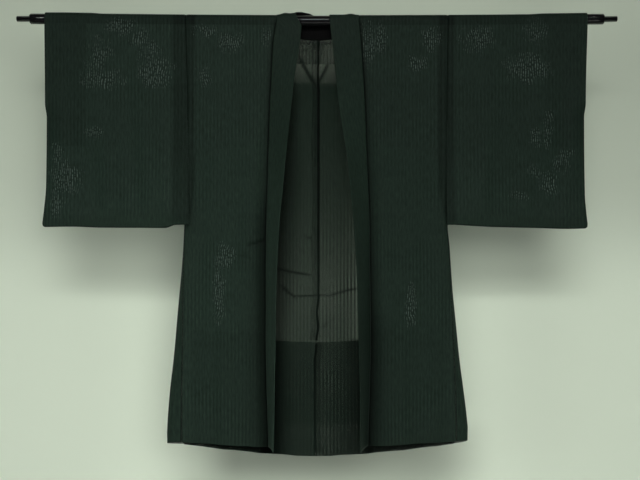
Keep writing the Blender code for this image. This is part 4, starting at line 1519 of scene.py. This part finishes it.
def add_lamp(name, place, target, size, spread, watts, gleam_only=False):
    data = bpy.data.lights.new(name, "AREA")
    data.shape = "RECTANGLE"
    data.size, data.size_y = size
    data.spread = math.radians(spread)
    data.energy = watts
    lamp = placed(name, data)
    lamp.location = place
    lamp.rotation_euler = (Vector(target) - Vector(place)).to_track_quat("-Z", "Y").to_euler()
    lamp.visible_camera = False
    lamp.visible_glossy = gleam_only
    lamp.visible_diffuse = not gleam_only


def add_lights():
    for lamp in LAMPS:
        add_lamp(*lamp)
    for lamp in GLEAM_LAMPS:
        add_lamp(*lamp, gleam_only=True)
    world = bpy.data.worlds.new("Room")
    world.use_nodes = True
    background = world.node_tree.nodes["Background"]
    background.inputs["Color"].default_value = WORLD_COLOUR
    background.inputs["Strength"].default_value = WORLD_STRENGTH
    world.cycles.sampling_method = "NONE"
    bpy.context.scene.world = world


def add_camera():
    data = bpy.data.cameras.new("camera")
    data.sensor_width = SENSOR_WIDTH
    data.lens = SENSOR_WIDTH * CAMERA_DISTANCE / VIEW_WIDTH
    camera = placed("camera", data)
    camera.location = (CAMERA_X, -CAMERA_DISTANCE, CAMERA_Z)
    camera.rotation_euler = (math.pi / 2, 0, 0)
    bpy.context.scene.camera = camera


# The whole scene


def dress_body(side, gauze, inner, sheer):
    """Half of the body with the strips inside it, and its gusset."""
    cloth = body_cloth(side)
    nodes = [f"body_{side}", f"hem_fold_front_{side}", f"hem_fold_back_{side}"]
    body = add_cloth(f"body_{side}_gauze", cloth, gauze, nodes)
    strips = [add_cloth(f"armhole_allowance_{side}", armhole_strip(side, True), inner)]
    if side == "left":
        upper = back_strip("left", NECK_DROP - 1, HEM_FOLD_TOP - 4, BACK_ALLOWANCE, ALLOWANCE_INSET)
        strips.append(add_cloth("back_allowance", upper, sheer))
        lower_depth = LAYER_INSET + ALLOWANCE_INSET
        lower = back_strip("right", HEM_FOLD_TOP + 2, BODY_DROP - 8, HEM_SEAM_ALLOWANCE, lower_depth)
        strips.append(add_cloth("hem_seam_allowance", lower, sheer))
        strips.append(add_cloth("neck_allowance", neck_allowance(), sheer))

    cloth = gusset_cloth(side)
    gusset = add_cloth(f"gusset_{side}_gauze", cloth, gauze, [f"gusset_{side}"])


def dress_sleeve(side, gauze, inner):
    """A sleeve with its allowance, and its cuff facing."""
    sleeve = sleeve_cloth(side)
    sleeve = add_cloth(f"sleeve_{side}_gauze", sleeve, gauze, [f"sleeve_{side}"], ring=True)
    strip = add_cloth(f"sleeve_allowance_{side}", armhole_strip(side, False), inner)

    facing = facing_cloth(side)
    facing = add_cloth(f"cuff_facing_{side}_gauze", facing, inner, [f"cuff_facing_{side}"])


def dress_rod(solid):
    """The rod, lacquered and bent a little by the jacket's weight."""
    bent = bmesh.new()
    bent.from_mesh(solid.data)
    bmesh.ops.remove_doubles(bent, verts=bent.verts, dist=1e-6)
    for x in stepped(-SAG_HALF_LENGTH, SAG_HALF_LENGTH, ROD_BEND_STEP):
        whole = [*bent.verts, *bent.edges, *bent.faces]
        bmesh.ops.bisect_plane(bent, geom=whole, plane_co=(x * METRES, 0, 0), plane_no=(1, 0, 0))
    for vertex in bent.verts:
        vertex.co.z -= float(rod_sag(vertex.co.x / METRES)) * METRES
    mesh = bpy.data.meshes.new("rod_lacquered")
    bent.to_mesh(mesh)
    bent.free()
    mesh.shade_smooth()
    mesh.set_sharp_from_angle(angle=math.radians(30))
    mesh.materials.append(lacquer_material())
    rod = placed("rod_lacquered", mesh)
    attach(rod, "root")
    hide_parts(solid.name)


def dress(frame):
    gauze = gauze_material("Silk gauze", OPEN_SHARES["silk"])
    inner = gauze_material("Inner gauze", OPEN_SHARES["silk"])
    sheer = gauze_material("Neck gauze", OPEN_SHARES["neck"])
    folded = gauze_material("Collar gauze", OPEN_SHARES["collar"])
    dress_rod(frame["nodes"]["rod"])
    for side in SIDES:
        dress_body(side, gauze, inner, sheer)
        dress_sleeve(side, gauze, inner)
    collar = add_cloth("collar_gauze", collar_cloth(), folded, ["collar"])
    dark_strip = add_cloth("dark_neck_strip", dark_neck_strip(), dark_strip_material())


def corners():
    return [list(corner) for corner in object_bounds()]


def main():
    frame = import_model()
    add_camera()
    add_lights()
    add_room()
    dress(frame)
    bpy.context.scene.view_settings.view_transform = "Standard"
    bpy.context.scene.cycles.transparent_max_bounces = 32


main()
